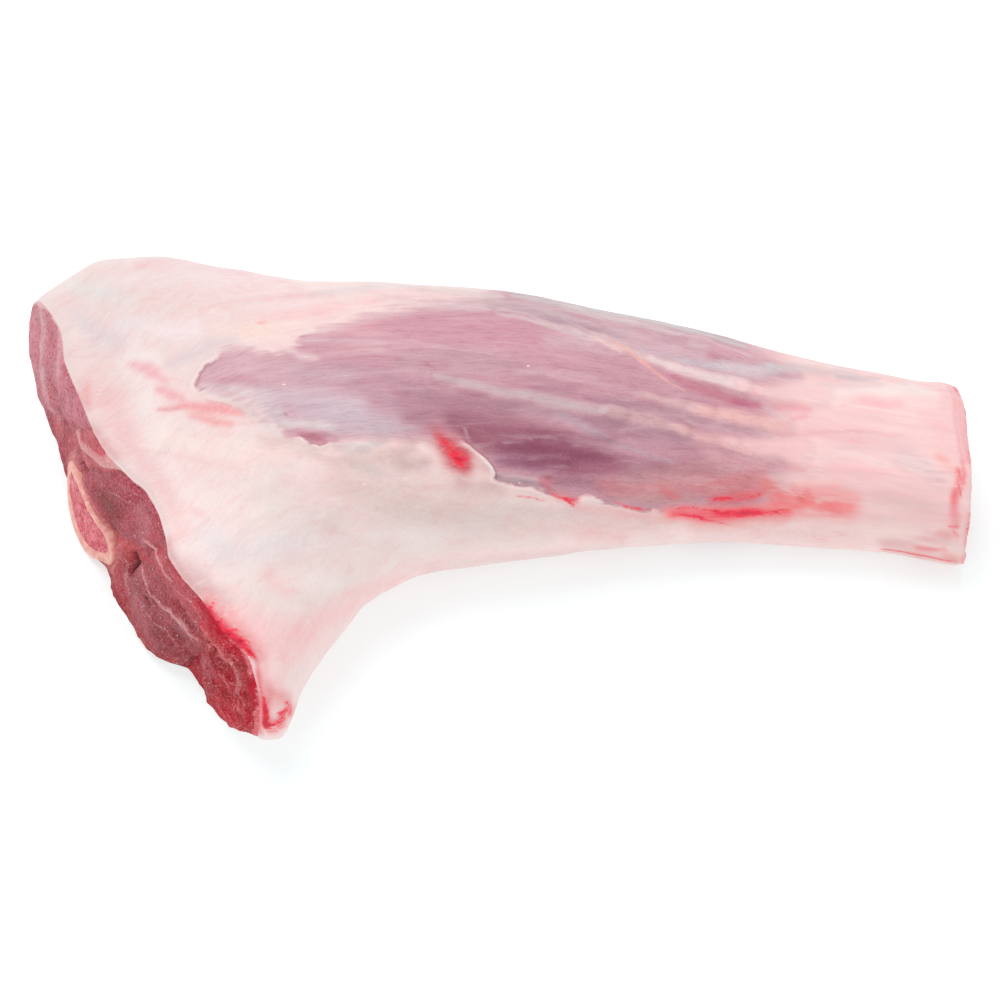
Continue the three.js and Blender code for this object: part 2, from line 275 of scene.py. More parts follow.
# Where the fat's edge is torn and stands up, and how crisp it is there.
TORN = [([(192, 386, 3), (205, 367, 3), (216, 358, 2)], 0.9),
        ([(466, 443, 3), (482, 456, 4), (494, 468, 5), (493, 479, 4)], 1.0),
        ([(493, 480, 3), (520, 487, 3), (556, 495, 3), (570, 503, 3), (600, 499, 2)], 0.6),
        ([(300, 438, 2), (319, 446, 3), (331, 440, 2)], 0.8), ([(612, 505, 2), (653, 511, 2)], 0.4)]
MUSCLE_BASE = (210, 161, 173)
MUSCLE = [  # colour, strength, softness, run
    # the smooth window at the left
    ((216, 175, 184), 0.95, 8, [(206, 374, 6), (232, 362, 12), (262, 366, 14), (290, 368, 12)]),
    ((206, 172, 182), 0.9, 10, [(300, 370, 10), (330, 374, 10), (350, 372, 8)]),
    ((214, 191, 201), 0.9, 12, [(262, 392, 6), (290, 398, 12), (320, 402, 14), (356, 406, 10)]),
    ((206, 186, 197), 0.8, 12, [(310, 412, 8), (350, 418, 12), (390, 424, 10)]),
    ((196, 153, 168), 0.9, 12, [(346, 364, 2), (372, 372, 6), (400, 382, 8), (428, 394, 5)]),
    ((190, 152, 166), 0.85, 13, [(352, 384, 2), (382, 398, 6), (408, 412, 8), (432, 426, 6)]),
    # long bands of the upper muscles
    ((217, 171, 180), 0.9, 5, [(302, 350, 3), (340, 351, 6), (380, 350, 5)]),
    ((201, 158, 168), 0.9, 12, [(400, 358, 5), (450, 360, 11), (510, 366, 9), (548, 378, 4)]),
    ((204, 148, 162), 0.8, 3.5, [(350, 357, 1.5), (375, 357, 3), (400, 359, 3)]),
    ((216, 162, 175), 0.95, 8, [(370, 328, 6), (430, 326, 14), (500, 332, 13), (540, 344, 9)]),
    ((220, 161, 173), 0.9, 3.5, [(308, 335, 1), (325, 333, 2), (350, 330, 5), (372, 328, 7)]),
    ((225, 188, 195), 0.8, 3, [(296, 340, 1.5), (340, 341, 2.5), (385, 342, 2.5)]),
    ((222, 178, 187), 0.7, 3.5, [(385, 342, 2.5), (430, 344, 2), (500, 349, 1.5)]),
    ((228, 192, 198), 0.85, 6, [(306, 337, 2), (340, 329, 3), (378, 316, 4), (412, 309, 4), (450, 306, 4), (486, 307, 3)]),
    ((212, 162, 174), 0.9, 9, [(510, 350, 6), (560, 360, 12), (600, 370, 10)]),
    ((208, 161, 172), 0.9, 7, [(570, 370, 6), (620, 378, 10), (650, 386, 8), (682, 394, 4)]),
    ((190, 122, 137), 0.55, 2.5, [(424, 361, 1), (431, 366, 1.4)]), ((192, 128, 141), 0.5, 2.5, [(440, 362, 1), (447, 366, 1.2)]),
    # the dusky belly under the long tendon
    ((180, 136, 150), 0.9, 13, [(404, 392, 4), (430, 398, 8), (472, 403, 6), (500, 408, 2)]),
    ((186, 148, 160), 0.85, 11, [(480, 402, 3), (530, 410, 6), (566, 416, 4)]),
    ((187, 143, 158), 0.9, 8, [(580, 420, 5), (610, 426, 8), (640, 433, 8), (680, 441, 8)]),
    ((186, 128, 142), 0.55, 4, [(390, 388, 3), (406, 395, 4)]),
    ((168, 109, 126), 0.95, 12, [(450, 414, 3), (470, 424, 10), (500, 432, 12), (540, 432, 8), (570, 438, 5)]),
    ((150, 88, 111), 0.95, 12, [(500, 448, 8), (530, 450, 14), (560, 455, 14), (590, 456, 12), (612, 460, 8)]),
    ((158, 101, 128), 0.8, 6, [(500, 462, 4), (522, 463, 6), (542, 468, 4)]),
    ((172, 108, 127), 0.85, 9, [(560, 472, 5), (600, 470, 7), (625, 464, 9)]),
    ((176, 126, 140), 0.9, 6, [(556, 483, 3), (575, 482, 5), (600, 484, 4)]),
    ((188, 140, 148), 0.9, 8, [(600, 486, 4), (622, 482, 7), (642, 474, 8)]),
    ((199, 144, 151), 0.9, 9, [(650, 472, 7), (680, 472, 11), (720, 470, 9)]),
    ((209, 157, 158), 0.9, 6, [(612, 494, 4), (650, 496, 6), (690, 496, 5)]),
    ((208, 152, 154), 0.85, 6, [(660, 484, 4), (692, 482, 6)]),
    ((216, 145, 147), 0.85, 8, [(700, 490, 5), (735, 480, 7), (762, 474, 6)]),
    ((192, 120, 130), 0.5, 4, [(612, 484, 2), (618, 478, 3)]), ((194, 128, 136), 0.4, 3, [(639, 480, 1), (640, 491, 1.5)]),
    # thin skin over the belly's lower edge
    ((186, 156, 164), 0.95, 3, [(497, 477, 2), (515, 481, 4), (535, 484, 3.5), (552, 490, 2)]),
    ((216, 190, 194), 0.85, 1.4, [(495, 473, 0.7), (520, 477, 0.9), (536, 479, 0.9), (552, 474, 0.5)]),
    ((170, 92, 112), 0.8, 3, [(540, 478, 1), (549, 477, 3.5)]), ((198, 124, 138), 0.8, 2.5, [(541, 484, 1.5), (551, 489, 2)]),
    # bands towards the hock
    ((196, 168, 181), 0.85, 4, [(556, 411, 3), (574, 420, 4), (592, 431, 4), (606, 437, 3)]),
    ((197, 168, 181), 0.85, 2.2, [(604, 437, 1.5), (622, 444, 1.8), (650, 456, 1.8), (674, 463, 1.2)]),
    ((197, 149, 162), 0.85, 7, [(660, 436, 4), (684, 442, 8), (710, 449, 8)]),
    ((212, 162, 172), 0.85, 7, [(706, 449, 6), (735, 455, 6), (772, 463, 4)]),
    ((189, 146, 161), 0.9, 5, [(586, 398, 3), (620, 404, 5), (660, 411, 5.5), (690, 418, 5)]),
    ((208, 167, 178), 0.9, 4.5, [(690, 419, 4), (730, 428, 4.5), (764, 432, 3)]),
    # the upper edge of the shank
    ((208, 178, 186), 0.9, 7, [(500, 308, 3), (530, 313, 5), (560, 316, 5), (600, 326, 5), (630, 333, 5)]),
    ((216, 169, 181), 0.85, 5, [(636, 338, 3), (660, 342, 5), (692, 345, 3)]),
    ((219, 190, 196), 0.8, 5, [(690, 342, 3), (704, 350, 4)]),
    ((211, 187, 200), 0.85, 5, [(640, 350, 2), (662, 353, 4), (690, 361, 4), (722, 367, 4)]),
    ((213, 198, 206), 0.85, 4, [(680, 358, 3), (704, 363, 3), (740, 368, 4), (776, 371, 5)]),
    ((217, 208, 210), 0.85, 5, [(768, 366, 3), (790, 370, 4), (812, 371, 3)]),
    ((219, 187, 197), 0.8, 3.5, [(736, 376, 2), (770, 379, 2.5), (800, 381, 3), (830, 383, 2)]),
    ((219, 168, 179), 0.95, 4, [(704, 347, 2), (730, 351, 5), (755, 354, 6), (782, 358, 2)]),
    ((224, 198, 202), 0.85, 5, [(420, 304, 3), (450, 306, 3), (486, 306, 3)]),
    ((206, 181, 186), 0.85, 5, [(488, 304, 3), (520, 306, 5), (548, 310, 5), (566, 314, 4)]),
    ((193, 167, 178), 0.8, 4.5, [(540, 316, 2), (560, 320, 4), (584, 326, 3)]),
    ((190, 152, 163), 0.8, 3.5, [(576, 326, 2), (602, 329, 3), (626, 335, 2)]),
    ((223, 197, 199), 0.75, 2.2, [(500, 309, 1), (524, 315, 1.6), (552, 324, 1.6), (580, 333, 1.2)]),
    ((216, 196, 197), 0.8, 2.6, [(560, 306, 1), (600, 316, 2), (640, 325, 2.4), (680, 334, 2)]),
    ((207, 164, 174), 0.8, 4, [(628, 334, 2), (650, 338, 4), (684, 341, 3)]),
    # the grey band along the far rim: partly the silver skin's own grey and partly painted sheen of light reflected at
    # a grazing angle
    ((204, 194, 194), 0.9, 3.4, [(512, 295, 1.5), (560, 303, 2.6), (600, 310.5, 2.6), (640, 318, 3), (680, 326.5, 3.4), (716, 337, 3), (744, 346, 2)]),
    ((226, 205, 202), 0.85, 4, [(440, 292, 3), (470, 295, 4), (500, 297, 3)]),
    # the dark seam above the cream tendon's lower edge
    ((207, 141, 155), 0.95, 2.6, [(660, 370, 0.8), (672, 375, 2.4), (690, 384, 3.6), (705, 391, 4.2), (720, 395, 4), (736, 400, 3.4)]),
    ((200, 122, 145), 0.95, 2.6, [(734, 400, 3), (748, 403, 3.8), (760, 405, 3)]),
    ((217, 156, 166), 0.85, 3, [(714, 402, 2), (738, 408, 2.6), (758, 410, 1.6)]),
    # films and crumbs at the window's left and lower edges
    ((228, 194, 200), 0.8, 5, [(224, 350, 3), (242, 348, 3)]),
    ((237, 210, 212), 0.9, 4, [(272, 350, 3), (286, 347, 4), (300, 355, 3.5), (316, 356, 2)]),
    ((229, 209, 211), 0.95, 6, [(202, 386, 2), (230, 389, 5), (248, 394, 8), (262, 408, 8), (272, 422, 5)]),
    ((217, 201, 206), 0.9, 6, [(262, 392, 4), (274, 408, 7), (288, 424, 5)]),
    ((222, 206, 209), 0.95, 4, [(282, 424, 3), (300, 423, 4.5), (318, 423, 5), (338, 428, 3.5)]),
    ((207, 186, 193), 0.85, 6, [(338, 429, 3), (360, 431, 5), (384, 432, 5), (412, 429, 4)]),
    ((210, 184, 191), 0.8, 3, [(214, 386, 1.5), (228, 387, 1.5)]),
    ((199, 132, 146), 0.95, 2.2, [(300, 434, 1.2), (311, 436, 3.2), (322, 439, 3.6)]),
    ((194, 154, 164), 0.85, 2.5, [(328, 435, 2.6), (336, 437, 1.6)]),
    ((190, 146, 157), 0.85, 2, [(286, 413.5, 1.8)]),
    ((180, 130, 144), 0.75, 7, [(624, 461, 4), (642, 463, 6), (662, 467, 4)]),
    # corrections in tone
    ((226, 198, 204), 0.7, 15, [(548, 341, 1), (576, 341, 5), (620, 342, 7), (660, 343, 6), (700, 350, 4)]),
    ((226, 208, 212), 0.7, 8, [(724, 366, 6), (760, 370, 6)]),
    ((178, 136, 150), 0.5, 10, [(536, 390, 6), (570, 392, 7)]),
    ((168, 114, 130), 0.6, 12, [(412, 416, 7), (450, 416, 9), (510, 414, 9)]),
    ((158, 94, 110), 0.8, 7, [(450, 424, 4), (468, 434, 7), (486, 444, 7)]),
    ((156, 100, 120), 0.6, 7, [(584, 438, 5), (612, 440, 5)]),
    ((150, 88, 110), 0.6, 8, [(530, 440, 6), (566, 440, 7)]),
    ((144, 82, 105), 0.6, 8, [(530, 462, 5), (570, 464, 7)]),
    ((222, 186, 190), 0.5, 8, [(610, 412, 5), (650, 414, 5), (690, 414, 6)]),
    ((244, 202, 204), 0.6, 7, [(722, 412, 5), (742, 416, 5)]),
    ((232, 176, 182), 0.45, 9, [(700, 440, 5), (720, 462, 7), (760, 462, 8)]),
    ((226, 144, 150), 0.6, 9, [(604, 486, 6), (650, 488, 7), (700, 486, 7), (756, 486, 7)]),
]
SHEATH_BASE = (249, 210, 209)
SHEATH = [
    ((250, 231, 228), 0.85, 6, [(776, 393, 3), (820, 392, 5), (860, 391, 5), (905, 391, 7), (938, 393, 6)]),
    ((253, 216, 214), 0.8, 7, [(820, 412, 4), (850, 406, 6)]),
    ((253, 197, 200), 0.85, 6, [(864, 402, 3), (880, 406, 6), (900, 403, 4)]),
    ((253, 223, 220), 0.7, 8, [(912, 406, 5), (935, 403, 6)]),
    ((253, 201, 205), 0.85, 7, [(940, 424, 5), (952, 430, 6), (945, 442, 5)]),
    ((243, 175, 179), 0.85, 4, [(774, 405, 2), (790, 406, 4), (808, 408, 2.5)]),
    ((245, 184, 188), 0.85, 3.5, [(790, 418, 2), (804, 415, 3)]),
    ((252, 222, 219), 0.8, 4, [(776, 414, 3), (786, 418, 3)]),
    ((240, 189, 191), 0.75, 2.6, [(778, 434, 2), (830, 433, 2), (865, 433, 2), (902, 435, 1.2)]),
    ((208, 142, 152), 0.6, 1.4, [(845, 431.5, 0.6), (862, 432.5, 0.7)]),
    ((238, 202, 203), 0.85, 9, [(845, 448, 6), (880, 448, 8), (905, 452, 8)]),
    ((229, 196, 201), 0.85, 9, [(900, 458, 7), (925, 468, 9), (942, 480, 7)]),
    ((250, 187, 183), 0.85, 4.5, [(940, 457, 3), (949, 461, 4)]),
    ((251, 204, 206), 0.8, 7, [(826, 468, 5), (860, 470, 6), (885, 474, 4)]),
    ((240, 202, 200), 0.85, 11, [(880, 496, 8), (905, 500, 13), (936, 506, 10)]),
    ((217, 163, 173), 0.65, 4.5, [(778, 463, 2), (792, 468, 4), (802, 472, 2)]),
    ((250, 214, 210), 0.9, 8, [(800, 527, 5), (870, 530, 7), (912, 532, 6)]),
    ((238, 184, 183), 0.85, 5, [(880, 543, 3), (910, 541, 4), (945, 537, 5)]),
    ((244, 155, 156), 0.75, 3, [(916, 547, 1.5), (932, 548, 2.5), (944, 547, 1.5)]),
    ((242, 178, 171), 0.85, 3.5, [(945, 555, 3), (960, 560, 3)]),
    ((222, 204, 206), 0.85, 5, [(790, 366, 4), (820, 371, 4), (856, 375, 2)]),
    ((206, 186, 195), 0.85, 3, [(836, 377, 1.6), (855, 379, 2.6), (878, 380, 1.4)]),
    ((238, 206, 208), 0.8, 3.5, [(818, 384, 2.5), (850, 386, 2.5), (882, 386, 1.6)]),
    ((249, 181, 184), 0.85, 2.6, [(955, 385, 1.5), (960, 396, 1.8), (963, 410, 1.6)]),
    ((248, 184, 191), 0.85, 2.6, [(963, 412, 1.6), (966, 440, 1.8), (968, 462, 1.8)]),
    ((247, 160, 165), 0.85, 2.6, [(967, 462, 1.8), (968, 475, 2.4), (965, 488, 2)]),
    ((244, 162, 167), 0.8, 5, [(957, 492, 3), (954, 510, 5), (954, 526, 4)]),
    ((245, 221, 218), 0.8, 2.6, [(968, 496, 1.5), (969, 515, 1.8), (968, 540, 1.8)]),
    ((241, 198, 199), 0.7, 9, [(858, 438, 6), (890, 442, 7)]),
    ((237, 182, 186), 0.7, 7, [(788, 468, 5), (812, 472, 5)]),
    ((253, 226, 220), 0.6, 7, [(830, 528, 5), (880, 531, 6), (915, 534, 5)]),
    ((246, 178, 176), 0.7, 6, [(940, 534, 4), (954, 536, 5)]),
    ((249, 184, 183), 0.7, 7, [(944, 462, 5), (956, 470, 5)]),
    ((240, 176, 178), 0.6, 7, [(774, 486, 5), (790, 488, 5)]),
]
FAT_BASE = (249, 221, 219)
# Where the fat thins out into the muscle's skin: width (mm) of the soft edge.
SOFT_EDGE = [(1.8, 6, [(222, 352, 4), (236, 347, 4), (262, 353, 5)]), (1.1, 4, [(276, 354, 4), (300, 342, 5)]),
             (1.6, 10, [(320, 330, 8), (372, 312, 10), (430, 303, 10), (500, 294, 8)]),
             (1.8, 8, [(210, 390, 6), (240, 400, 8), (264, 420, 6)]), (1.4, 5, [(276, 428, 3), (292, 437, 4)]),
             (2.4, 8, [(345, 439, 5), (380, 440, 6), (430, 438, 6)]),
             (2.2, 8, [(680, 514, 6), (760, 520, 8), (860, 530, 10), (890, 552, 10)])]
FAT = [
    ((255, 232, 231), 0.8, 18, [(134, 345, 10), (146, 380, 12), (158, 430, 14), (176, 480, 12), (205, 530, 8)]),
    # broad tones
    ((240, 222, 219), 0.9, 36, [(270, 500, 30), (300, 560, 40)]),
    ((231, 217, 218), 0.9, 24, [(206, 536, 8), (232, 556, 14), (290, 545, 18), (330, 532, 14)]),
    ((228, 207, 203), 0.95, 34, [(350, 488, 16), (400, 505, 28), (450, 515, 26), (520, 522, 16)]),
    ((232, 215, 213), 0.8, 24, [(320, 524, 14), (400, 546, 16), (480, 524, 10)]),
    ((240, 222, 219), 0.85, 20, [(250, 590, 18), (300, 598, 22), (360, 573, 14), (420, 552, 8)]),
    ((234, 202, 200), 0.9, 18, [(545, 526, 10), (600, 522, 10), (660, 526, 8)]),
    ((240, 204, 203), 0.9, 14, [(700, 530, 8), (760, 532, 8), (860, 532, 8)]),
    # the upper edge and the sawn side
    ((253, 228, 229), 0.85, 14, [(110, 282, 8), (180, 276, 10), (250, 290, 10), (300, 308, 6)]),
    ((241, 228, 226), 0.85, 12, [(76, 292, 8), (104, 294, 12), (126, 300, 8)]),
    ((252, 204, 208), 0.6, 7, [(140, 268, 4), (190, 262, 4), (250, 275, 4)]),
    ((255, 228, 218), 0.8, 8, [(222, 334, 5), (262, 332, 7), (300, 322, 5)]),
    ((253, 206, 207), 0.6, 5, [(262, 320, 3), (310, 312, 4), (345, 306, 3), (385, 301, 3)]),
    ((246, 205, 208), 0.7, 4, [(262, 302, 2), (290, 297, 3), (330, 294, 3)]),
    # greyish along the far rim: partly the fat's own tone and partly painted sheen of light reflected at a grazing
    # angle
    ((232, 213, 213), 0.9, 5, [(310, 296, 2), (340, 291, 3), (370, 288, 4), (420, 287, 4)]),
    ((228, 207, 205), 0.9, 5, [(420, 289, 3), (450, 292, 4), (500, 297, 5)]),
    ((238, 206, 207), 0.75, 5, [(380, 300, 3), (410, 301, 4), (440, 300, 4), (470, 302, 3)]),
    # painted highlights: four small white glints along the fat's edge above the upper muscle
    ((255, 240, 238), 0.75, 2.4, [(314, 331, 0.8), (324, 329, 1)]), ((255, 240, 238), 0.75, 2.4, [(334, 325, 0.8), (346, 322, 1)]),
    ((255, 242, 240), 0.8, 2.4, [(366, 313, 0.8), (380, 311, 1.1)]), ((252, 236, 236), 0.8, 2.4, [(396, 310, 1), (412, 309.5, 1.1)]),
    ((237, 216, 220), 0.9, 12, [(72, 320, 5), (94, 334, 10), (118, 342, 10)]),
    ((246, 231, 232), 0.85, 10, [(122, 322, 8), (142, 325, 8)]),
    ((255, 234, 236), 0.9, 8, [(152, 328, 5), (175, 334, 9), (196, 329, 6)]),
    ((232, 210, 214), 0.9, 8, [(172, 366, 3), (190, 356, 6), (210, 346, 6), (234, 340, 3)]),
    ((252, 236, 234), 0.8, 8, [(118, 362, 4), (140, 358, 6), (156, 361, 5)]),
    ((240, 208, 210), 0.55, 2.4, [(62, 358, 0.8), (100, 357, 1.2), (124, 358.5, 1), (127, 366, 0.8)]),
    ((250, 186, 192), 0.85, 6, [(134, 365, 4), (150, 371, 7), (163, 381, 4)]),
    ((249, 178, 184), 0.85, 5, [(159, 391, 3), (172, 395, 5), (182, 399, 3)]),
    ((248, 202, 202), 0.9, 16, [(92, 388, 9), (116, 406, 15), (132, 440, 10), (152, 482, 7), (180, 532, 5)]),
    ((247, 176, 176), 0.8, 6, [(80, 394, 4), (92, 404, 4), (89, 386, 3)]),
    ((255, 230, 224), 0.7, 12, [(160, 440, 8), (220, 452, 10), (280, 452, 8)]),
    ((247, 210, 207), 0.6, 5, [(150, 452, 2), (200, 462, 3), (260, 474, 2)]),
    ((248, 206, 204), 0.5, 5, [(130, 494, 3), (150, 520, 4)]),
    ((252, 228, 226), 0.7, 12, [(190, 492, 8), (240, 500, 10), (196, 512, 6)]),
    ((247, 196, 197), 0.6, 5, [(190, 512, 2), (203, 516, 3)]),
    ((246, 196, 198), 0.7, 11, [(268, 576, 3), (286, 590, 7), (298, 582, 3)]),
    ((248, 208, 208), 0.7, 14, [(200, 560, 3), (222, 590, 8), (256, 618, 12)]),
    # the salmon streak
    ((248, 168, 170), 0.95, 4.5, [(160, 411, 1), (182, 407, 3.2), (200, 409, 5.2), (222, 409, 6), (243, 412, 4)]),
    ((248, 176, 176), 0.9, 5, [(192, 417, 3.4), (212, 421, 5), (229, 424, 3)]),
    ((222, 158, 163), 0.7, 1.6, [(207, 402, 0.6), (222, 403.5, 1), (232, 407, 1), (243, 411, 0.8)]),
    ((224, 158, 164), 0.6, 1.4, [(160, 412, 0.4), (178, 409, 0.8)]),
    # films under the window
    ((232, 214, 214), 0.85, 6, [(206, 391, 2), (230, 399, 4), (250, 412, 5), (270, 428, 4), (292, 441, 3)]),
    ((214, 199, 200), 0.9, 6, [(336, 446, 3), (352, 448, 6), (366, 450, 6), (384, 440, 4)]),
    ((224, 206, 203), 0.85, 6, [(346, 460, 3), (362, 466, 5), (378, 476, 4)]),
    ((221, 189, 186), 0.85, 8, [(378, 456, 4), (398, 456, 8), (412, 448, 5)]),
    ((208, 174, 174), 0.8, 5, [(398, 440, 2), (420, 440, 3), (432, 444, 3)]),
    ((222, 180, 182), 0.7, 5, [(478, 464, 3), (486, 470, 4)]),
    ((234, 218, 214), 0.8, 2.5, [(474, 449, 1.4), (484, 457, 1.8), (492, 466, 2), (493, 474, 1.6)]),
    ((236, 200, 196), 0.5, 3, [(400, 472, 1.2), (402, 486, 1.2), (404, 500, 0.8)]),
    # the lower side and the near tip
    ((251, 204, 204), 0.85, 16, [(200, 582, 4), (244, 636, 14), (286, 644, 18), (334, 614, 10), (395, 584, 5)]),
    ((250, 190, 194), 0.85, 11, [(258, 664, 5), (276, 700, 9)]),
    ((246, 200, 200), 0.6, 6, [(330, 598, 4), (380, 584, 4), (440, 566, 3)]),
    ((229, 209, 208), 0.8, 7, [(500, 508, 5), (560, 512, 6), (600, 512, 5)]),
    ((236, 196, 194), 0.7, 5, [(610, 516, 3), (660, 520, 3), (720, 528, 3)]),
    ((231, 203, 201), 0.7, 6, [(430, 566, 3), (520, 557, 4), (620, 546, 3)]),
    ((250, 232, 230), 0.85, 3, [(262, 716, 1.5), (272, 710, 2.4), (280, 722, 2)]),
    # corrections in tone
    ((222, 194, 190), 0.6, 10, [(262, 440, 4), (300, 446, 6), (340, 460, 8), (400, 464, 7)]),
    ((206, 176, 174), 0.7, 8, [(406, 464, 5), (424, 464, 7)]),
    ((206, 176, 174), 0.6, 9, [(460, 486, 5), (500, 488, 6)]),
    ((240, 188, 187), 0.6, 8, [(580, 534, 5), (620, 535, 6)]),
    ((244, 230, 228), 0.7, 13, [(364, 534, 8), (410, 536, 9), (450, 536, 8)]),
    ((246, 234, 232), 0.7, 13, [(292, 582, 9), (330, 584, 9)]),
    ((226, 172, 172), 0.85, 7, [(172, 542, 3), (188, 562, 5), (203, 580, 8), (217, 592, 5)]),
    ((226, 194, 194), 0.6, 8, [(196, 560, 5), (212, 584, 8), (230, 600, 6)]),
    ((238, 178, 178), 0.7, 6, [(98, 424, 3), (109, 440, 5), (121, 453, 4)]),
]
TENDONS = [  # strength, softness, ridge height (mm), colour, run
    (0.50, 5.0, 0.15, (202, 168, 179), [(396, 364, 2), (420, 371, 3), (444, 378, 4)]),
    (0.90, 3.6, 0.45, (207, 183, 187), [(436, 377, 2.5), (464, 383, 3.8), (500, 391, 4.3), (540, 399, 4.3), (580, 407, 4.3), (618, 414, 4.3)]),
    (0.90, 3.6, 0.40, (215, 177, 180), [(610, 413, 4.2), (650, 421, 4.2), (682, 430, 4.2)]),
    (0.90, 3.6, 0.30, (231, 184, 186), [(676, 428, 4.2), (704, 437, 4.2), (730, 443, 5)]),
    (0.85, 5.0, 0.25, (250, 205, 205), [(728, 442, 4), (760, 447, 7), (800, 450, 8)]),
    (0.60, 2.0, 0.12, (221, 184, 187), [(520, 370, 0.6), (560, 377, 1.0), (590, 383, 1.2), (620, 389, 1.6), (652, 396, 2.6)]),
    (0.85, 3.0, 0.30, (226, 188, 189), [(644, 395, 2.4), (680, 404, 3.6), (705, 411, 4.4)]),
    (0.90, 4.0, 0.30, (241, 191, 189), [(698, 410, 4), (740, 418, 6), (782, 426, 6)]),
    (0.80, 2.2, 0.20, (226, 203, 206), [(498, 314, 0.8), (530, 321, 1.5), (560, 330, 2.6), (602, 341, 3)]),
    (0.85, 2.4, 0.30, (232, 198, 196), [(596, 340, 3), (628, 351, 3), (656, 362, 3)]),
    (0.95, 3.0, 0.40, (240, 214, 216), [(650, 360, 2.6), (680, 368, 4.6), (710, 378, 5.6), (742, 386, 6)]),
    (0.90, 4.0, 0.30, (249, 212, 212), [(738, 386, 5.5), (770, 392, 5.5), (820, 394, 7)]),
    (0.50, 1.8, 0.10, (232, 206, 210), [(560, 303, 0.6), (620, 318, 1.0), (700, 338, 1.0), (752, 356, 0.6)]),
    (0.55, 1.8, 0.08, (236, 206, 210), [(564, 318, 0.6), (590, 330, 0.8), (612, 340, 0.8)]),
    (0.90, 0.9, 0.15, (246, 180, 174), [(606, 334, 0.4), (620, 346, 0.9), (634, 357, 1.0), (650, 367, 1.0), (668, 380, 0.8), (686, 392, 0.3)]),
    (0.70, 1.2, 0.08, (251, 214, 208), [(588, 337, 0.4), (604, 344, 0.8), (622, 353, 0.6)]),
    (0.70, 1.0, 0.06, (210, 174, 184), [(460, 423, 0.3), (465, 431, 0.5), (468, 440, 0.4)]),
    (0.50, 1.0, 0.05, (220, 190, 200), [(504, 443, 0.3), (520, 442, 0.4), (532, 440, 0.3)]),
    (0.45, 1.2, 0.05, (224, 186, 188), [(640, 477, 0.3), (655, 475, 0.5)]), (0.5, 1.2, 0.05, (236, 196, 196), [(696, 485, 0.4), (712, 487, 0.5), (740, 487, 0.3)]),
    (0.6, 1.4, 0.10, (252, 206, 204), [(725, 447, 0.5), (740, 451, 0.7), (752, 454, 0.5)]),
    (0.5, 1.4, 0.08, (228, 196, 204), [(430, 346, 0.4), (470, 351, 0.6), (510, 356, 0.4)]),
]
WASH = [  # thin blood soaked into the skin: colour, strength, softness, run
    # the oval spot by the torn edge
    ((212, 134, 140), 0.8, 10, [(434, 430, 5), (445, 444, 12), (458, 459, 16), (462, 466, 12)]),
    ((214, 86, 98), 0.85, 8, [(439, 436, 3), (448, 447, 8), (459, 458, 12), (462, 463, 9)]),
    ((190, 44, 64), 0.9, 5, [(443, 442, 3), (452, 452, 6), (461, 459, 7)]),
    # along the lower edge of the belly
    ((240, 148, 150), 0.8, 5, [(554, 494, 2), (564, 498, 3.5), (575, 502, 3.5)]),
    ((222, 118, 130), 0.6, 4, [(540, 480, 2), (549, 482, 3), (548, 488, 2)]),
    ((246, 188, 186), 0.7, 5, [(578, 508, 3), (600, 512, 4), (640, 514, 4), (670, 518, 4)]),
    ((222, 128, 134), 0.7, 5, [(662, 491, 2), (671, 496, 4), (678, 499, 2)]),
    ((255, 152, 154), 0.9, 6, [(668, 512, 5), (700, 514, 8), (740, 514, 9), (784, 512, 7)]),
    ((255, 104, 116), 0.9, 5, [(674, 514, 3.5), (700, 514, 5.5), (735, 514, 6.5), (765, 513, 5), (788, 511, 2)]),
    ((250, 50, 72), 0.75, 3, [(714, 512, 1.5), (745, 513, 3.4), (764, 513, 2)]),
    ((247, 186, 184), 0.75, 6, [(690, 523, 3), (730, 525, 4), (780, 521, 5)]),
    ((230, 122, 126), 0.9, 6, [(711, 500, 3), (730, 497, 6), (752, 495, 6), (768, 486, 4)]),
    ((238, 142, 142), 0.85, 7, [(763, 481, 4), (772, 490, 6), (782, 500, 7)]),
    # the long soft fade towards the hock
    ((252, 144, 145), 0.95, 13, [(776, 505, 8), (800, 503, 11), (826, 504, 11), (848, 508, 8)]),
    ((248, 172, 172), 0.7, 13, [(808, 490, 4), (834, 488, 5), (856, 498, 4)]),
    ((238, 122, 124), 0.75, 6, [(794, 491, 3), (802, 497, 5), (808, 494, 3)]),
    ((242, 142, 144), 0.6, 9, [(820, 498, 3), (830, 505, 6), (838, 511, 3)]),
    # the sawn rim
    ((246, 172, 174), 0.85, 8, [(212, 594, 4), (222, 606, 7), (238, 624, 8), (250, 642, 7), (260, 658, 4)]),
    ((232, 64, 82), 0.9, 4, [(211, 602, 2), (217, 611, 5), (226, 624, 6), (236, 637, 6), (246, 650, 4), (252, 660, 2)]),
    ((244, 140, 146), 0.9, 4, [(254, 664, 2), (259, 680, 3), (263, 694, 4), (266, 712, 5), (264, 728, 5)]),
    ((242, 150, 154), 0.7, 6, [(268, 688, 5), (277, 699, 7), (286, 697, 5)]),
    ((236, 112, 116), 0.8, 5, [(270, 700, 2), (271, 710, 4), (275, 719, 4), (282, 719, 4), (289, 712, 4), (290, 704, 3)]),
    ((252, 216, 214), 0.8, 4, [(278, 700, 2.4), (280, 709, 3)]),
    # round the hock
    ((226, 122, 118), 0.75, 2.4, [(886, 548, 1), (912, 552, 2), (935, 557, 2.4), (956, 562, 1.6)]),
    ((246, 160, 166), 0.6, 4, [(960, 384, 1.4), (966, 398, 1.6), (970, 424, 1.0), (973, 460, 1.6)]),
    ((240, 122, 130), 0.75, 4, [(962, 470, 2), (961, 488, 3), (956, 500, 4)]),
]
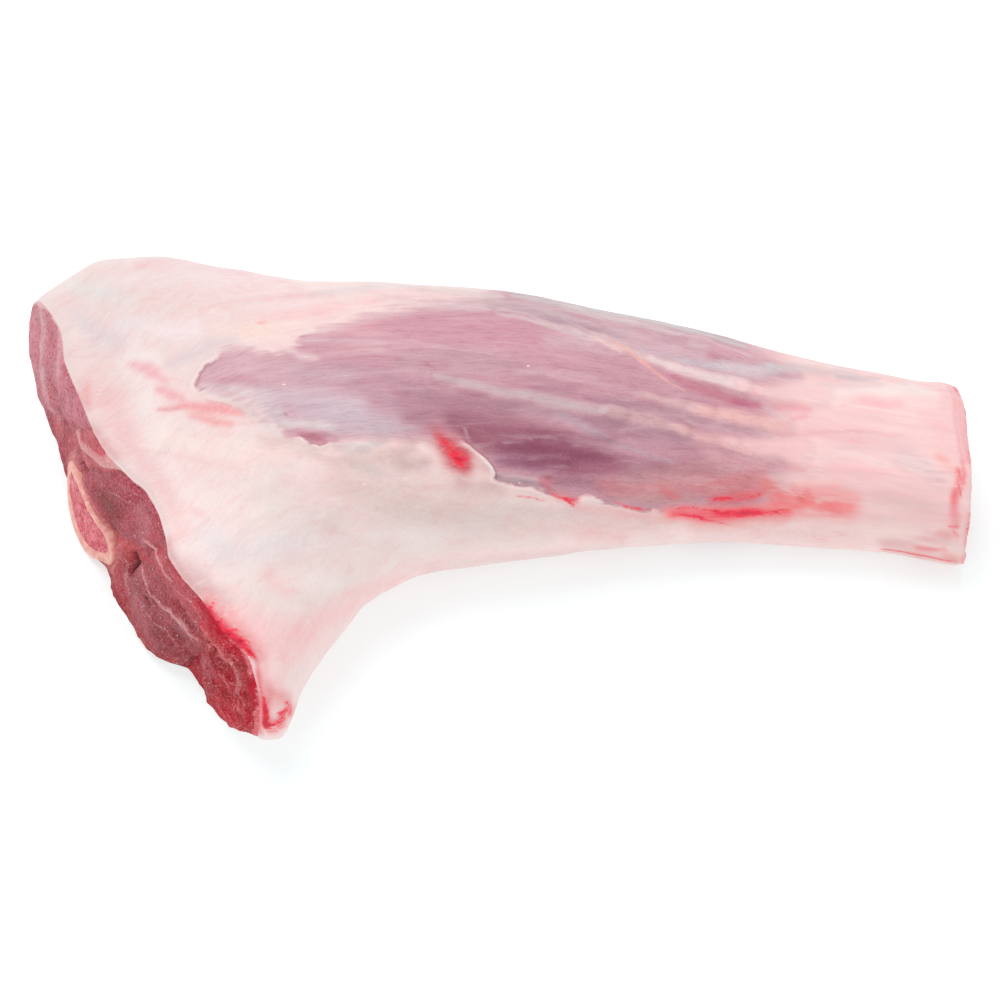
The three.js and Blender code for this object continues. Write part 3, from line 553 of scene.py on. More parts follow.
BLOOD = [  # strength, softness, run
    # the oval spot by the torn edge
    (0.46, 7, [(443, 442, 2.4), (452, 451, 5), (460, 459, 7)]),
    (0.55, 1.4, [(439, 440, 0.5), (447, 443, 0.8)]), (0.60, 1.4, [(447, 446, 0.6), (456, 453, 0.9)]),
    (0.40, 1.4, [(444, 449, 0.5), (452, 456, 0.8)]),
    (0.95, 3, [(453, 457, 1.4), (459, 459.5, 2.4), (464, 459, 1.4)]), (0.35, 2.4, [(456, 465, 0.6), (462, 466, 1)]),
    # dots and lines along the edge
    (0.62, 1.1, [(517, 497, 0.5), (530, 498, 0.6), (543, 499, 0.4)]),
    (0.50, 1.6, [(550, 491, 0.5), (560, 497, 1.2), (568, 500, 1.8), (575, 500, 0.8)]),
    (0.55, 1.6, [(566, 500, 0.8), (573, 506, 0.9)]), (0.40, 1.2, [(572, 504, 0.6), (578, 501, 0.5)]),
    (0.34, 1.4, [(578, 498, 0.5), (590, 496.5, 0.5), (602, 498, 0.4)]),
    (0.60, 1.4, [(616, 503, 0.6), (622, 504, 0.8)]), (0.62, 2.0, [(624, 506, 1), (633, 507.5, 1.4), (641, 508, 0.6)]),
    (0.36, 1.4, [(641, 508, 0.5), (660, 511, 0.6), (674, 511, 0.5)]),
    (0.34, 2, [(664, 492, 0.8), (670, 495, 1), (676, 498, 0.6)]),
    # the long patch below the belly
    (0.20, 5, [(680, 515, 2), (710, 515, 3), (750, 514, 4), (785, 511, 2)]),
    (0.55, 1.8, [(675, 509, 0.8), (690, 508, 1), (708, 509, 1), (718, 511, 1)]),
    (0.50, 2.2, [(676, 515, 1), (692, 516, 1.8), (702, 517, 1.2)]),
    (0.48, 1.4, [(700, 517, 0.8), (714, 520, 0.8), (730, 524, 0.4)]),
    (0.50, 2.4, [(716, 511, 0.8), (724, 511.5, 1.8), (730, 512, 0.8)]),
    (0.50, 2.6, [(734, 512, 1), (746, 513, 2.4), (760, 513, 1.6)]),
    (0.36, 4.0, [(716, 513, 2), (745, 515, 3.4), (770, 513, 2), (788, 510, 1)]),
    (0.32, 1.6, [(770, 511, 0.8), (790, 508.5, 0.8), (804, 503, 0.6), (816, 500, 0.3)]),
    (0.22, 1.6, [(780, 515, 0.8), (810, 516, 0.8), (840, 516, 0.4)]),
    (0.34, 4, [(714, 500, 1.4), (728, 497, 3), (745, 496, 3), (758, 493, 2)]),
    (0.50, 1.8, [(713, 500, 0.8), (722, 497, 1.5), (732, 497, 1)]), (0.40, 1.6, [(736, 501, 0.6), (742, 499, 0.8)]),
    (0.50, 1.6, [(749, 497.5, 0.8), (757, 497, 1), (763, 491, 0.5)]), (0.40, 1.4, [(764, 480, 0.6), (769, 480, 0.8)]),
    (0.30, 2.2, [(796, 492, 0.8), (802, 497, 1.5)]),
    (0.08, 5, [(820, 502, 2), (834, 506, 3)]),
    # the sawn rim
    (0.85, 4, [(209, 602, 2), (215, 614, 5), (223, 627, 6), (233, 638, 6), (242, 649, 4), (247, 657, 2)]),
    (0.60, 1.6, [(216, 610, 2), (219, 602, 1.6), (220, 596, 0.5)]), (0.55, 1.6, [(222, 621, 2), (227, 615, 1.2), (228, 609, 0.4)]),
    (0.60, 1.6, [(231, 631, 2), (237, 627, 1.6), (242, 629, 0.5)]), (0.60, 1.6, [(238, 640, 1.8), (245, 639, 1.4), (249, 644, 0.5)]),
    (0.45, 2.0, [(244, 650, 1.4), (250, 656, 1.0), (252, 662, 0.4)]),
    (0.55, 1.6, [(257, 676, 0.5), (262, 688, 0.8), (267, 698, 1.2)]),
    (1.00, 2.4, [(267, 699, 1.4), (270, 708, 3.0), (272, 716, 2.6), (273, 722, 1.6)]),
    (0.80, 1.8, [(273, 722, 1.6), (279, 720, 1.2), (285, 716, 1.6)]),
    (0.95, 1.8, [(283, 712, 1.6), (287, 709, 1.8)]), (0.70, 1.8, [(287, 702, 1.4), (291, 706, 1.4), (290, 713, 1.4)]),
    (0.40, 4, [(270, 718, 3), (277, 727, 4), (285, 722, 3)]),
    # round the hock
    (0.45, 2.4, [(959, 383, 1), (964, 391, 1.6)]), (0.26, 2, [(968, 468, 1.4), (967, 484, 1.4)]),
    (0.50, 1.6, [(963, 472, 0.6), (964, 480, 0.9)]), (0.60, 1.6, [(962, 486, 0.9), (963, 496, 0.9)]), (0.24, 4, [(956, 494, 2), (954, 512, 3.5)]),
    (0.46, 2.0, [(948, 526, 0.8), (957, 526, 1.4)]), (0.40, 1.8, [(953, 531, 1), (958, 536, 1)]),
    (0.75, 1.4, [(880, 548, 0.4), (900, 551, 0.9), (925, 555.5, 1.0), (950, 562, 0.8)]),
    (0.24, 3, [(915, 547, 1), (934, 548, 2), (946, 550, 1.4)]),
    (0.40, 1.5, [(268, 323, 0.4), (262, 324, 1.2), (256, 324, 0.4)]),
    (0.26, 1.5, [(812, 534, 0.6), (828, 538, 1.2)]), (0.24, 2.0, [(840, 533, 1), (848, 532, 1)]),
    (0.22, 2.4, [(752, 390, 1.5), (757, 395, 1.5)]),
    (0.18, 3, [(756, 536, 1), (766, 533, 1.5)]),
]


# The grain of the muscle darkens it; this makes up for it.
MUSCLE_GAIN = np.array([1.02, 1.05, 1.03])


def layer(base, rows, x, y):
    col = np.broadcast_to(srgb(*base), x.shape + (3,)).copy()
    for rgb, strength, soft, run in rows:
        m = (strength * stroke(x, y, run, soft))[..., None]
        col = col * (1 - m) + srgb(*rgb) * m
    return col


def skin_looks(p, body, front):
    """Colours, masks and relief of the skin side at points p (mm); front is 1 where the camera sees them."""
    x0, y0 = in_view(p)
    away = (1 - front)
    big = np.stack([noise(p, 34, 3), noise(p, 34, 4)], -1)
    wob = np.stack([noise(p, 5.5, 5), noise(p, 5.5, 6)], -1) * 1.4 + np.stack([noise(p, 1.9, 7), noise(p, 1.9, 8)], -1) * 0.6
    x = x0 + wob[..., 0] + away * 26 * big[..., 0]
    y = y0 + wob[..., 1] + away * 20 * big[..., 1]
    gap = polygon_gap(x, y, WINDOW)
    fat = np.clip(gap * 0.24, -9, 9)  # mm, positive on the fat
    torn = np.zeros(x.shape)
    for run, k in TORN:
        torn = np.maximum(torn, k * stroke(x, y, run, 4))
    torn *= front
    melt = 0.7 + 0 * x
    for width, soft, run in SOFT_EDGE:
        melt = np.maximum(melt, width * stroke(x, y, run, soft))
    melt = melt * (1 - 0.75 * torn)
    col_m = layer(MUSCLE_BASE, MUSCLE, x, y)
    col_s = layer(SHEATH_BASE, SHEATH, x, y)
    # bands drawn for the side that shows fade into plain muscle on the other
    plain = srgb(208, 152, 166) * (1 + (0.14 * fbm(body / np.array([3.0, 1, 1]), 9, 3, 14))[..., None] * np.array([0.5, 1.0, 0.8]))
    k = (0.85 * step(0.25, 0.95, away))[..., None]
    col_m = col_m * (1 - k) + plain * k
    sheath = step(738, 812, x + (12 + 26 * away) * noise(body / np.array([4.0, 1, 1]), 6, 11)
                  + 40 * away * noise(body / np.array([3.0, 1, 1]), 13, 12)
                  - 34 * stroke(x, y, [(700, 350, 8), (760, 370, 9), (800, 375, 6)], 6)
                  - 24 * stroke(x, y, [(700, 455, 6), (780, 466, 8)], 8)
                  - 10 * stroke(x, y, [(700, 500, 10), (780, 497, 10)], 10))
    streak = 0.65 * noise(body / np.array([9.0, 1, 1]), 1.7, 42) + 0.5 * noise(body / np.array([4.0, 1, 1]), 0.9, 43)
    blotch = fbm(body / np.array([2.2, 1, 1]), 4.5, 3, 44)
    col_s = col_s * (1 + (0.6 * streak + 0.5 * blotch)[..., None] * np.array([0.015, 0.075, 0.065]))
    tint = (col_m * (1 - sheath[..., None]) * MUSCLE_GAIN + col_s * sheath[..., None])
    tend, ridge = np.zeros(x.shape), np.zeros(x.shape)
    for strength, soft, high, rgb, run in TENDONS:
        m = stroke(x, y, run, soft)
        k = (strength * m)[..., None]
        tint = tint * (1 - k) + srgb(*rgb) * (1 + (MUSCLE_GAIN - 1) * (1 - sheath[..., None])) * k
        tend = np.maximum(tend, strength * m)
        g = polyline_gap(x, y, run)
        ridge += high * (np.exp(-(np.maximum(g, 0) / 5) ** 2) - 0.75 * np.exp(-((g - 8) / 5) ** 2)) * (0.3 + 0.7 * front)
    # painted light: the fat is made 10% lighter on its lower near side, which the lamps light less, and 3% darker and
    # less red towards the sawn end on the left, which the key lights more
    col_f = layer(FAT_BASE, FAT, x, y) * (1 + 0.10 * step(480, 560, y) - 0.03 * step(420, 140, x))[..., None]
    col_f = col_f * (1 - step(420, 120, x)[..., None] * np.array([0.075, 0.02, 0.02]))
    wisps = fbm(p + 2.0 * np.stack([noise(p, 7, 45), noise(p, 7, 46), noise(p, 7, 47)], -1), 5.5, 3, 48)
    col_f = col_f * (1 + (0.7 * wisps + 0.10 * streak)[..., None] * np.array([0.010, 0.05, 0.045]))
    for rgb, strength, soft, run in WASH:
        k = np.clip(strength * stroke(x, y, run, soft) * step(0.35, 0.8, front) * (1 + 0.30 * streak), 0, 1)[..., None]
        tint = tint * (1 - k) + srgb(*rgb) * (1 + (MUSCLE_GAIN - 1) * (1 - sheath[..., None])) * k
        col_f = col_f * (1 - k) + srgb(*rgb) * k
    blood = np.zeros(x.shape)
    for strength, soft, run in BLOOD:
        blood = blood + strength * stroke(x, y, run, soft)
    blood *= step(0.35, 0.8, front)
    # a red line round the hock's cut edge
    blood = np.maximum(blood, np.clip(0.20 + 0.22 * noise(p, 5, 49), 0, 1) * np.exp(-((HOCK_RUN - body[..., 0]) / 0.8) ** 2))
    # relief, in millimetres
    onfat = step(-1.0, 1.2, fat)
    lip = torn * (0.75 * step(-0.5, 0.35, fat) + 0.25 * np.exp(-((fat - 0.5) / 0.6) ** 2))
    swell = 0.35 * step(-3, 5, fat) * (1 - torn)
    grain = body / np.array([7.0, 1.0, 1.0])
    fib = 0.10 * noise(grain, 1.5, 21) + 0.06 * noise(grain, 0.8, 22)
    soft_fat = 0.45 * fbm(p, 14, 2, 31) + 0.16 * noise(body / np.array([2.2, 1, 1]), 3.2, 33)
    folds = 0.28 * noise(body / np.array([8.0, 1, 1]), 3.0, 35) * sheath
    crumbs = 0.55 * stroke(x, y, [(236, 394, 3), (256, 408, 6), (272, 424, 5), (300, 424, 4), (334, 427, 3)], 4) * noise(p, 2.0, 36) \
        + 0.35 * stroke(x, y, [(276, 350, 4), (290, 346, 5), (304, 355, 4)], 4) * noise(p, 1.7, 37) \
        + 0.40 * stroke(x, y, [(326, 448, 2), (340, 446, 4)], 3) * noise(p, 1.8, 39)
    high = (lip + swell + ridge + fib * (1 - onfat) + soft_fat * onfat + folds + crumbs * front
            + 0.3 * fbm(p, 22, 2, 38) - 0.5 * stroke(x, y, [(286, 413, 1.5)], 2) * front
            - 0.7 * stroke(x, y, [(303, 435, 1.2), (314, 437, 3), (326, 436, 2.5)], 2.4) * front)
    return {"tint": tint, "fat_tint": col_f, "fat": fat, "torn": torn, "tend": tend, "blood": blood,
            "sheath": sheath, "melt": melt, "high": high}


# ------------------------------------------------------------ the sawn face
# Places are in the photograph's frame here too.
BUNDLES = [  # colour, radius, ends, how speckled
    ((219, 150, 159), 5, (32, 322), (46, 398), 0.7),
    ((216, 139, 151), 12, (56, 335), (78, 415), 1.0),
    ((192, 106, 114), 6, (60, 430), (69, 460), 0.5),
    ((212, 112, 118), 7, (84, 438), (106, 456), 0.3),
    ((190, 100, 111), 15, (104, 492), (146, 536), 0.5),
    ((206, 102, 106), 6, (114, 545), (134, 549), 0.3),
    ((190, 92, 98), 8, (113, 575), (123, 598), 0.6),
    ((186, 108, 115), 20, (140, 590), (178, 643), 0.8),
    ((200, 100, 108), 7, (158, 555), (200, 615), 0.4),
    ((212, 84, 96), 6, (198, 602), (214, 632), 0.3),
    ((194, 66, 80), 18, (210, 672), (243, 712), 0.7),
]
FACE_PAINT = [
    ((222, 120, 122), 0.75, 5, [(111, 545, 3), (120, 556, 5), (130, 549, 4)]),
    ((176, 84, 106), 0.85, 3, [(48, 309, 2), (55, 318, 3), (60, 332, 2)]),
    ((214, 166, 172), 0.6, 4, [(35, 312, 2), (36, 322, 2)]),
    ((190, 116, 126), 0.75, 5, [(64, 398, 3), (62, 410, 4), (70, 424, 4)]),
    ((198, 92, 102), 0.8, 5, [(76, 424, 4), (88, 434, 4)]),
    ((226, 168, 174), 0.6, 5, [(54, 414, 2), (58, 420, 3)]),
    ((226, 142, 144), 0.7, 5, [(98, 450, 3), (112, 462, 3)]),
    ((206, 100, 106), 0.6, 4, [(82, 440, 2), (92, 441, 3), (104, 447, 2)]),
    ((146, 52, 64), 0.9, 6, [(98, 488, 3), (110, 503, 6), (120, 516, 4)]),
    ((190, 108, 118), 0.7, 6, [(128, 502, 2), (141, 521, 4), (152, 536, 2)]),
    ((190, 76, 90), 0.7, 4, [(155, 538, 2), (162, 552, 3)]),
    ((182, 116, 122), 0.7, 6, [(139, 580, 4), (146, 594, 4), (152, 610, 3)]),
    ((150, 68, 78), 0.7, 6, [(156, 618, 4), (160, 634, 6), (170, 644, 3)]),
    ((160, 56, 70), 0.7, 5, [(172, 600, 2), (182, 616, 4), (192, 628, 2)]),
    ((192, 92, 94), 0.7, 4, [(122, 604, 3), (134, 628, 3), (156, 653, 3), (180, 662, 3)]),
    ((206, 104, 110), 0.5, 3, [(172, 574, 2), (186, 592, 2)]),
    ((204, 92, 96), 0.75, 5, [(196, 634, 3), (204, 644, 4)]),
    ((166, 66, 76), 0.7, 6, [(212, 660, 4), (214, 690, 5)]),
    ((168, 46, 58), 0.7, 6, [(222, 684, 3), (230, 696, 4)]),
    ((178, 40, 54), 0.8, 5, [(246, 690, 3), (254, 706, 4)]),
    ((208, 108, 112), 0.75, 4, [(228, 716, 2), (238, 721, 3.5), (248, 726, 3)]),
    ((190, 90, 94), 0.6, 4, [(196, 664, 3), (206, 676, 3)]),
    ((198, 116, 124), 0.7, 4, [(202, 655, 2), (210, 662, 3), (216, 674, 2)]),
    ((216, 108, 114), 0.75, 3, [(214, 640, 1.4), (220, 650, 2.4), (228, 658, 1.6)]),
    ((150, 24, 40), 0.8, 3, [(204, 628, 1.6), (210, 640, 2.4), (216, 652, 2)]),
    ((192, 108, 110), 0.7, 3.5, [(238, 672, 2), (240, 684, 3), (238, 694, 2)]),
    ((174, 20, 40), 0.85, 3.5, [(247, 664, 2), (250, 680, 3), (254, 698, 3)]),
    ((214, 96, 104), 0.6, 3, [(250, 706, 2), (252, 716, 2)]),
    ((206, 76, 86), 0.7, 4, [(232, 704, 3), (240, 716, 4)]),
    ((156, 40, 56), 0.7, 3, [(228, 668, 1.6), (232, 678, 2)]),
    ((232, 184, 190), 0.7, 6, [(52, 316, 4), (57, 340, 5), (58, 372, 4)]),
    ((216, 140, 146), 0.6, 6, [(54, 418, 4), (60, 432, 4)]),
    ((222, 112, 116), 0.5, 6, [(74, 440, 4), (86, 440, 4)]),
    ((148, 52, 64), 0.8, 7, [(112, 490, 4), (114, 508, 6), (117, 526, 5)]),
    ((208, 136, 144), 0.7, 6, [(138, 510, 3), (143, 526, 5), (142, 546, 3)]),
    ((212, 104, 112), 0.6, 5, [(153, 518, 3), (157, 540, 4)]),
    ((168, 54, 58), 0.7, 5, [(128, 553, 4), (128, 570, 4)]),
    ((152, 68, 78), 0.55, 8, [(142, 582, 4), (156, 598, 6), (158, 616, 6), (168, 634, 6), (182, 642, 5)]),
    ((156, 62, 70), 0.7, 7, [(170, 650, 5), (186, 652, 5)]),
    ((176, 72, 82), 0.6, 6, [(170, 600, 4), (184, 618, 4)]),
    ((196, 22, 44), 0.75, 4, [(207, 618, 3), (216, 628, 4), (227, 638, 4)]),
    ((152, 40, 52), 0.75, 5, [(210, 650, 4), (226, 664, 5), (240, 666, 4)]),
    ((138, 48, 60), 0.7, 6, [(174, 628, 4), (185, 637, 5)]),
]
SEAMS = [  # pale tissue between the bundles: colour, strength, softness, run
    ((232, 188, 196), 0.75, 1.4, [(38, 301, 1.2), (40, 347, 1.0), (46, 385, 1.0), (52, 413, 0.8)]),
    ((229, 162, 165), 0.95, 2.0, [(78, 432, 2.5), (88, 443, 3.8), (101, 450, 4.6), (114, 458, 4.6), (127, 467, 4.0), (141, 478, 3.6), (153, 490, 2.4)]),
    ((236, 184, 182), 0.7, 1.4, [(98, 451, 1.2), (114, 461, 1.8), (130, 472, 1.2)]),
    ((224, 160, 164), 0.85, 0.9, [(143, 565, 0.7), (150, 580, 0.9), (155, 594, 1.0), (169, 608, 1.3), (181, 620, 1.4), (192, 629, 1.2), (202, 641, 0.9)]),
    ((214, 146, 152), 0.7, 0.8, [(137, 594, 0.5), (149, 614, 0.7), (169, 629, 0.8), (182, 644, 0.6)]),
    ((236, 180, 178), 0.85, 1.0, [(143, 540, 0.9), (156, 553, 1.3), (169, 565, 1.3), (181, 577, 0.8)]),
    ((226, 150, 156), 0.6, 0.9, [(178, 578, 0.6), (192, 596, 0.9), (206, 616, 0.7)]),
    ((216, 140, 142), 0.6, 1.4, [(127, 557, 1.0), (127, 575, 1.4), (131, 594, 1.0)]),
    ((226, 130, 132), 0.6, 1.4, [(109, 541, 1.5), (118, 545, 1.5), (128, 543, 1.0)]),
    ((224, 140, 144), 0.6, 0.9, [(206, 634, 0.6), (222, 648, 1.0), (236, 656, 0.7)]),
    ((228, 152, 154), 0.65, 1.4, [(226, 654, 1.2), (235, 664, 1.6), (238, 678, 1.2), (240, 692, 1.6)]),
    ((222, 146, 150), 0.5, 1.2, [(219, 668, 0.8), (228, 676, 1.2), (232, 690, 0.8)]),
    ((232, 128, 130), 0.8, 1.4, [(240, 700, 0.8), (244, 706, 1.6), (248, 707, 0.8)]),
    ((240, 140, 142), 0.7, 1.2, [(191, 612, 0.8), (198, 622, 1.0)]),
    ((236, 130, 132), 0.7, 1.6, [(206, 624, 1.0), (214, 634, 1.6), (222, 646, 1.6), (230, 656, 1.0)]),
    ((220, 150, 158), 0.45, 0.8, [(98, 470, 0.5), (116, 488, 0.6), (134, 506, 0.5)]),
    ((214, 150, 158), 0.4, 0.8, [(118, 478, 0.5), (134, 494, 0.6), (150, 516, 0.4)]),
]
# Pits in the sawn face: sunk into it, and darkened with painted shade in the cut material.
POCKETS = [[(134, 554, 1.5), (136, 563, 2.2), (132, 573, 1.4)], [(83, 464, 1.0), (87, 470, 1.6)],
           [(213, 637, 1.2), (216, 643, 1.8), (218, 648, 1.0)], [(220, 664, 0.8), (222, 668, 1.0)], [(148, 596, 0.8), (152, 604, 0.8)]]
FACE_BLOOD = [(0.75, 4, [(206, 600, 2), (214, 612, 4), (226, 626, 5), (240, 640, 4), (252, 655, 3)]),
              (0.30, 7, [(206, 618, 3), (222, 638, 4), (243, 664, 4)]),
              (0.85, 3, [(251, 676, 2), (254, 690, 4), (256, 704, 4), (254, 716, 2)])]


def face_looks(c, z, p, edge):
    """Colours, masks and relief of the sawn face. edge is the way to the rim (mm)."""
    x0, y0 = in_view(p)
    x = x0 + 2.2 * noise(p, 6, 51) + 1.0 * noise(p, 2.2, 52)
    y = y0 + 2.6 * noise(p, 6, 53) + 1.2 * noise(p, 2.2, 54)
    gaps = np.stack([polyline_gap(x, y, [a + (r,), b + (r,)]) for _, r, a, b, _ in BUNDLES], -1)
    order = np.sort(gaps, -1)
    which, seam = gaps.argmin(-1), (order[..., 1] - order[..., 0]) / 6.5  # about mm
    tint = np.array([cut(*b[0]) for b in BUNDLES])[which]
    speck = np.array([b[4] for b in BUNDLES])[which]
    for rgb, strength, soft, run in FACE_PAINT:
        m = (strength * stroke(x, y, run, soft))[..., None]
        tint = tint * (1 - m) + cut(*rgb) * m
    tint = tint * (1 + (0.12 * fbm(p, 8, 2, 61) + 0.14 * noise(p, 2.0, 62)))[..., None]
    line = 0.45 * np.exp(-(seam / 0.35) ** 2) * step(-0.5, 0.6, noise(p, 7, 63) + 0.2)
    k = line[..., None]
    tint = tint * (1 - k) + cut(222, 150, 154) * k
    pale = np.zeros(c.shape)
    for rgb, strength, soft, run in SEAMS:
        m = strength * stroke(x, y, run, soft)
        tint = tint * (1 - m[..., None]) + cut(*rgb) * m[..., None]
        pale = np.maximum(pale, m)
    # the pale skin of gristle round the bone
    bone_gap = np.hypot((c - bone_c(0.0)) / (bone_rc(0.0) + 1.2), (z - bone_z(0.0)) / (bone_rz(0.0) + 1.2)) - 1
    around = np.exp(-(np.maximum(bone_gap, 0) * 10 / 0.8) ** 2) * (0.7 + 0.3 * noise(p, 5, 64))
    tint = tint * (1 - around[..., None]) + cut(222, 140, 138) * around[..., None]
    pale = np.maximum(pale, around)
    # the fat cover's own cut edge, thicker towards the near tip
    cover = 0.30 + 1.1 * step(-48, -63, c) + 0.7 * step(44, 62, c)
    fat = step(0.35, -0.35, edge - cover * (1 + 0.5 * noise(p, 5, 65)) * step(12, 24, z) - 0.3 * step(22, 12, z))
    fleck = step(0.15, 0.65, noise(p, 2.2, 66)) * step(-32, -44, c)
    pocket = np.zeros(c.shape)
    for run in POCKETS:
        pocket = np.maximum(pocket, stroke(x0, y0, run, 2.2))
    blood = sum(strength * stroke(x, y, run, soft) for strength, soft, run in FACE_BLOOD)
    wave = rim_wave(c) * step(12, 26, z) * np.exp(-(edge / 15) ** 2)
    rough = 0.20 * noise(p, 1.1, 71) * speck + 0.10 * noise(p, 0.9, 72) \
        + (0.45 * noise(p, 3.0, 75) + 0.30 * noise(p, 1.6, 76)) * step(9, 2, z)
    crumb = np.maximum(0, noise(p, 2.4, 74)) * step(-30, -42, c) * 1.3
    high = (wave + 1.3 * (1 - np.exp(-seam / 1.6)) - 0.7 + 0.6 * (1 - np.exp(-np.maximum(edge, 0) / 0.8)) - 0.4
            + rough + 0.45 * fbm(p, 6, 3, 73) - 2.2 * pocket + 0.8 * crumb + 0.5 * pale + 0.3 * fat)
    near = fat * step(-34, -42, c)  # towards the near tip the cover is soaked pink
    tint = tint * (1 - near[..., None]) + cut(240, 122, 130) * near[..., None]
    pale, fat = np.maximum(pale, near), fat - near
    return {"tint": tint, "pale": pale, "fleck": fleck, "fat": fat, "blood": blood, "pocket": pocket,
            "speck": speck, "seam": seam, "high": high}


HOCK = [  # small muscles and pale sinews cut through round the bone: colour, radius, ends (across, height), pale
    ((190, 92, 102), 3.0, (-18.0, 20.5), (-17.4, 13.0), 0.0), ((232, 186, 180), 1.1, (-14.5, 24.4), (-13.4, 25.2), 1.0),
    ((196, 98, 106), 2.2, (-7.5, 27.6), (-1.0, 28.4), 0.0), ((238, 204, 196), 1.9, (5.0, 28.2), (9.4, 27.2), 1.0),
    ((188, 90, 102), 2.4, (15.4, 23.0), (17.6, 19.0), 0.0), ((234, 196, 188), 1.2, (18.6, 13.6), (18.3, 12.2), 1.0),
    ((200, 106, 112), 2.0, (16.0, 7.6), (12.6, 4.9), 0.0), ((236, 198, 190), 0.9, (4.6, 3.0), (6.0, 3.0), 1.0),
    ((198, 104, 110), 1.7, (-2.0, 3.1), (-7.6, 3.5), 0.0), ((238, 206, 198), 2.2, (-15.0, 7.4), (-13.2, 5.2), 1.0),
]


def hock_looks(c, z, p, edge):
    wc, wz = c + 1.3 * noise(p, 4, 81), z + 1.3 * noise(p, 4, 82)
    tint = cut(216, 142, 144) * (1 + 0.14 * fbm(p, 5, 2, 83))[..., None]
    pale, dip = np.zeros(c.shape), np.zeros(c.shape)
    for rgb, r, a, b, sinew in HOCK:
        g = polyline_gap(wc, wz, [a + (r,), b + (r,)])
        m = step(0.5, -0.5, g)
        tint = tint * (1 - m[..., None]) + cut(*rgb) * m[..., None]
        pale = np.maximum(pale * (1 - m), m * sinew)
        dip = dip + (0.35 * sinew - 0.25 * (1 - sinew)) * m - 0.2 * np.exp(-(g / 0.5) ** 2)
    bone_gap = np.hypot((c - bone_c(1.0)) / (bone_rc(1.0) + 1.2), (z - bone_z(1.0)) / (bone_rz(1.0) + 1.2)) - 1
    k = np.exp(-(np.maximum(bone_gap, 0) * 10 / 1.1) ** 2) * (0.85 + 0.15 * noise(p, 4, 87))
    tint = tint * (1 - k[..., None]) + cut(230, 178, 172) * k[..., None]
    pale = np.maximum(pale, k)
    fat = step(0.5, -0.5, edge - 1.5 * (1 + 0.5 * noise(p, 4, 84)))
    high = dip + 0.35 * fbm(p, 3, 2, 85) + 0.3 * fat - hock_wave(np.clip(c, -24, 24))
    return {"tint": tint, "pale": np.clip(pale, 0, 1), "fleck": 0 * c, "fat": fat,
            "blood": 0.22 * step(0.2, 0.8, noise(p, 6, 86)), "pocket": 0 * c, "speck": 0.4 + 0 * c,
            "seam": 0 * c, "high": high}


# ------------------------------------------------------------------ meshes
N_AROUND = 288
M_DENSE = 2880


def spread(t):
    """Section t's outline at N_AROUND points, closer together on the upper side. Returns across, height."""
    ang = np.linspace(0, 2 * math.pi, M_DENSE + 1)
    c, z = rim(np.asarray(t)[:, None], ang[None, :])
    seg = np.hypot(np.diff(c, axis=1), np.diff(z, axis=1))
    mid = (ang[:-1] + ang[1:]) / 2
    weight = 1.0 + 1.1 * step(-0.75, -0.2, np.sin(mid))
    run = np.concatenate([np.zeros((len(t), 1)), np.cumsum(seg * weight, 1)], 1)
    run /= run[:, -1:]
    want = np.arange(N_AROUND) / N_AROUND
    out_c, out_z = np.empty((len(t), N_AROUND)), np.empty((len(t), N_AROUND))
    for k in range(len(t)):
        out_c[k], out_z[k] = np.interp(want, run[k], c[k]), np.interp(want, run[k], z[k])
    return out_c, out_z


def grid_normals(p):
    """Outward normals of rings of points, p[ring, around]."""
    du = np.empty_like(p)
    du[1:-1] = p[2:] - p[:-2]
    du[0], du[-1] = p[1] - p[0], p[-1] - p[-2]
    dv = np.roll(p, -1, 1) - np.roll(p, 1, 1)
    n = np.cross(dv, du)
    n /= np.linalg.norm(n, axis=-1, keepdims=True) + 1e-12
    return n


def along(t):
    """Way along the shank (mm) to section t, through the middles of the sections."""
    tt = np.linspace(0, 1, 2001)
    mid = np.stack([(near_x(tt) + far_x(tt)) / 2, (near_y(tt) + far_y(tt)) / 2], -1)
    s = np.concatenate([[0], np.cumsum(np.hypot(*np.diff(mid, axis=0).T))])
    return np.interp(t, tt, s)


def station_list(n):
    tt = np.linspace(0, 1, 4001)
    speed = np.gradient(along(tt), tt)
    extra = np.maximum(np.hypot(np.gradient(near_x(tt), tt), np.gradient(near_y(tt), tt)),
                       np.hypot(np.gradient(far_x(tt), tt), np.gradient(far_y(tt), tt)))
    w = 0.4 * speed + 0.6 * extra + 900 * np.exp(-tt / 0.006) + 900 * np.exp(-(1 - tt) / 0.008)
    cum = np.concatenate([[0], np.cumsum((w[1:] + w[:-1]) / 2)])
    return np.interp(np.linspace(0, cum[-1], n), cum, tt)


TO_EYE = CAM_DIR

# skin side
ts = station_list(290)
sec_c, sec_z = spread(ts)
round_off = 1 - 0.055 * np.clip((ts - 0.984) / 0.016, 0, 1) ** 2.2
zm = widest(ts)[:, None]
hock_c = sec_c * round_off[:, None]
hock_z = np.where(sec_z > zm, zm + (sec_z - zm) * round_off[:, None], sec_z)
skin = place(ts[:, None], hock_c, hock_z)
norm = grid_normals(skin)
body = np.stack([np.broadcast_to(along(ts)[:, None], sec_c.shape), sec_c, sec_z], -1)
front = step(-0.30, 0.12, norm @ TO_EYE)
looks = skin_looks(skin, body, front)
run_t = along(ts)
face_out = place(0.0, 0.0, 22.0, 1.0) - place(0.0, 0.0, 22.0, 0.0)
hock_out = place(1.0, 0.0, 15.0, 1.0) - place(1.0, 0.0, 15.0, 0.0)
rim_shift = rim_wave(np.clip(sec_c, -65.8, 65.8)) * step(12, 26, sec_z) * np.exp(-(run_t / 9) ** 2)[:, None]
hock_shift = hock_wave(np.clip(sec_c, -24, 24)) * step(run_t[-1] - 14, run_t[-1], run_t)[:, None]
lift = looks["high"] * step(0.0, 2.5, sec_z)
near_rim = np.exp(-(along(ts) / 1.2) ** 2)[:, None]
lift = lift * (1 - 0.5 * near_rim) - 0.45 * near_rim
rest_skin = skin.copy()
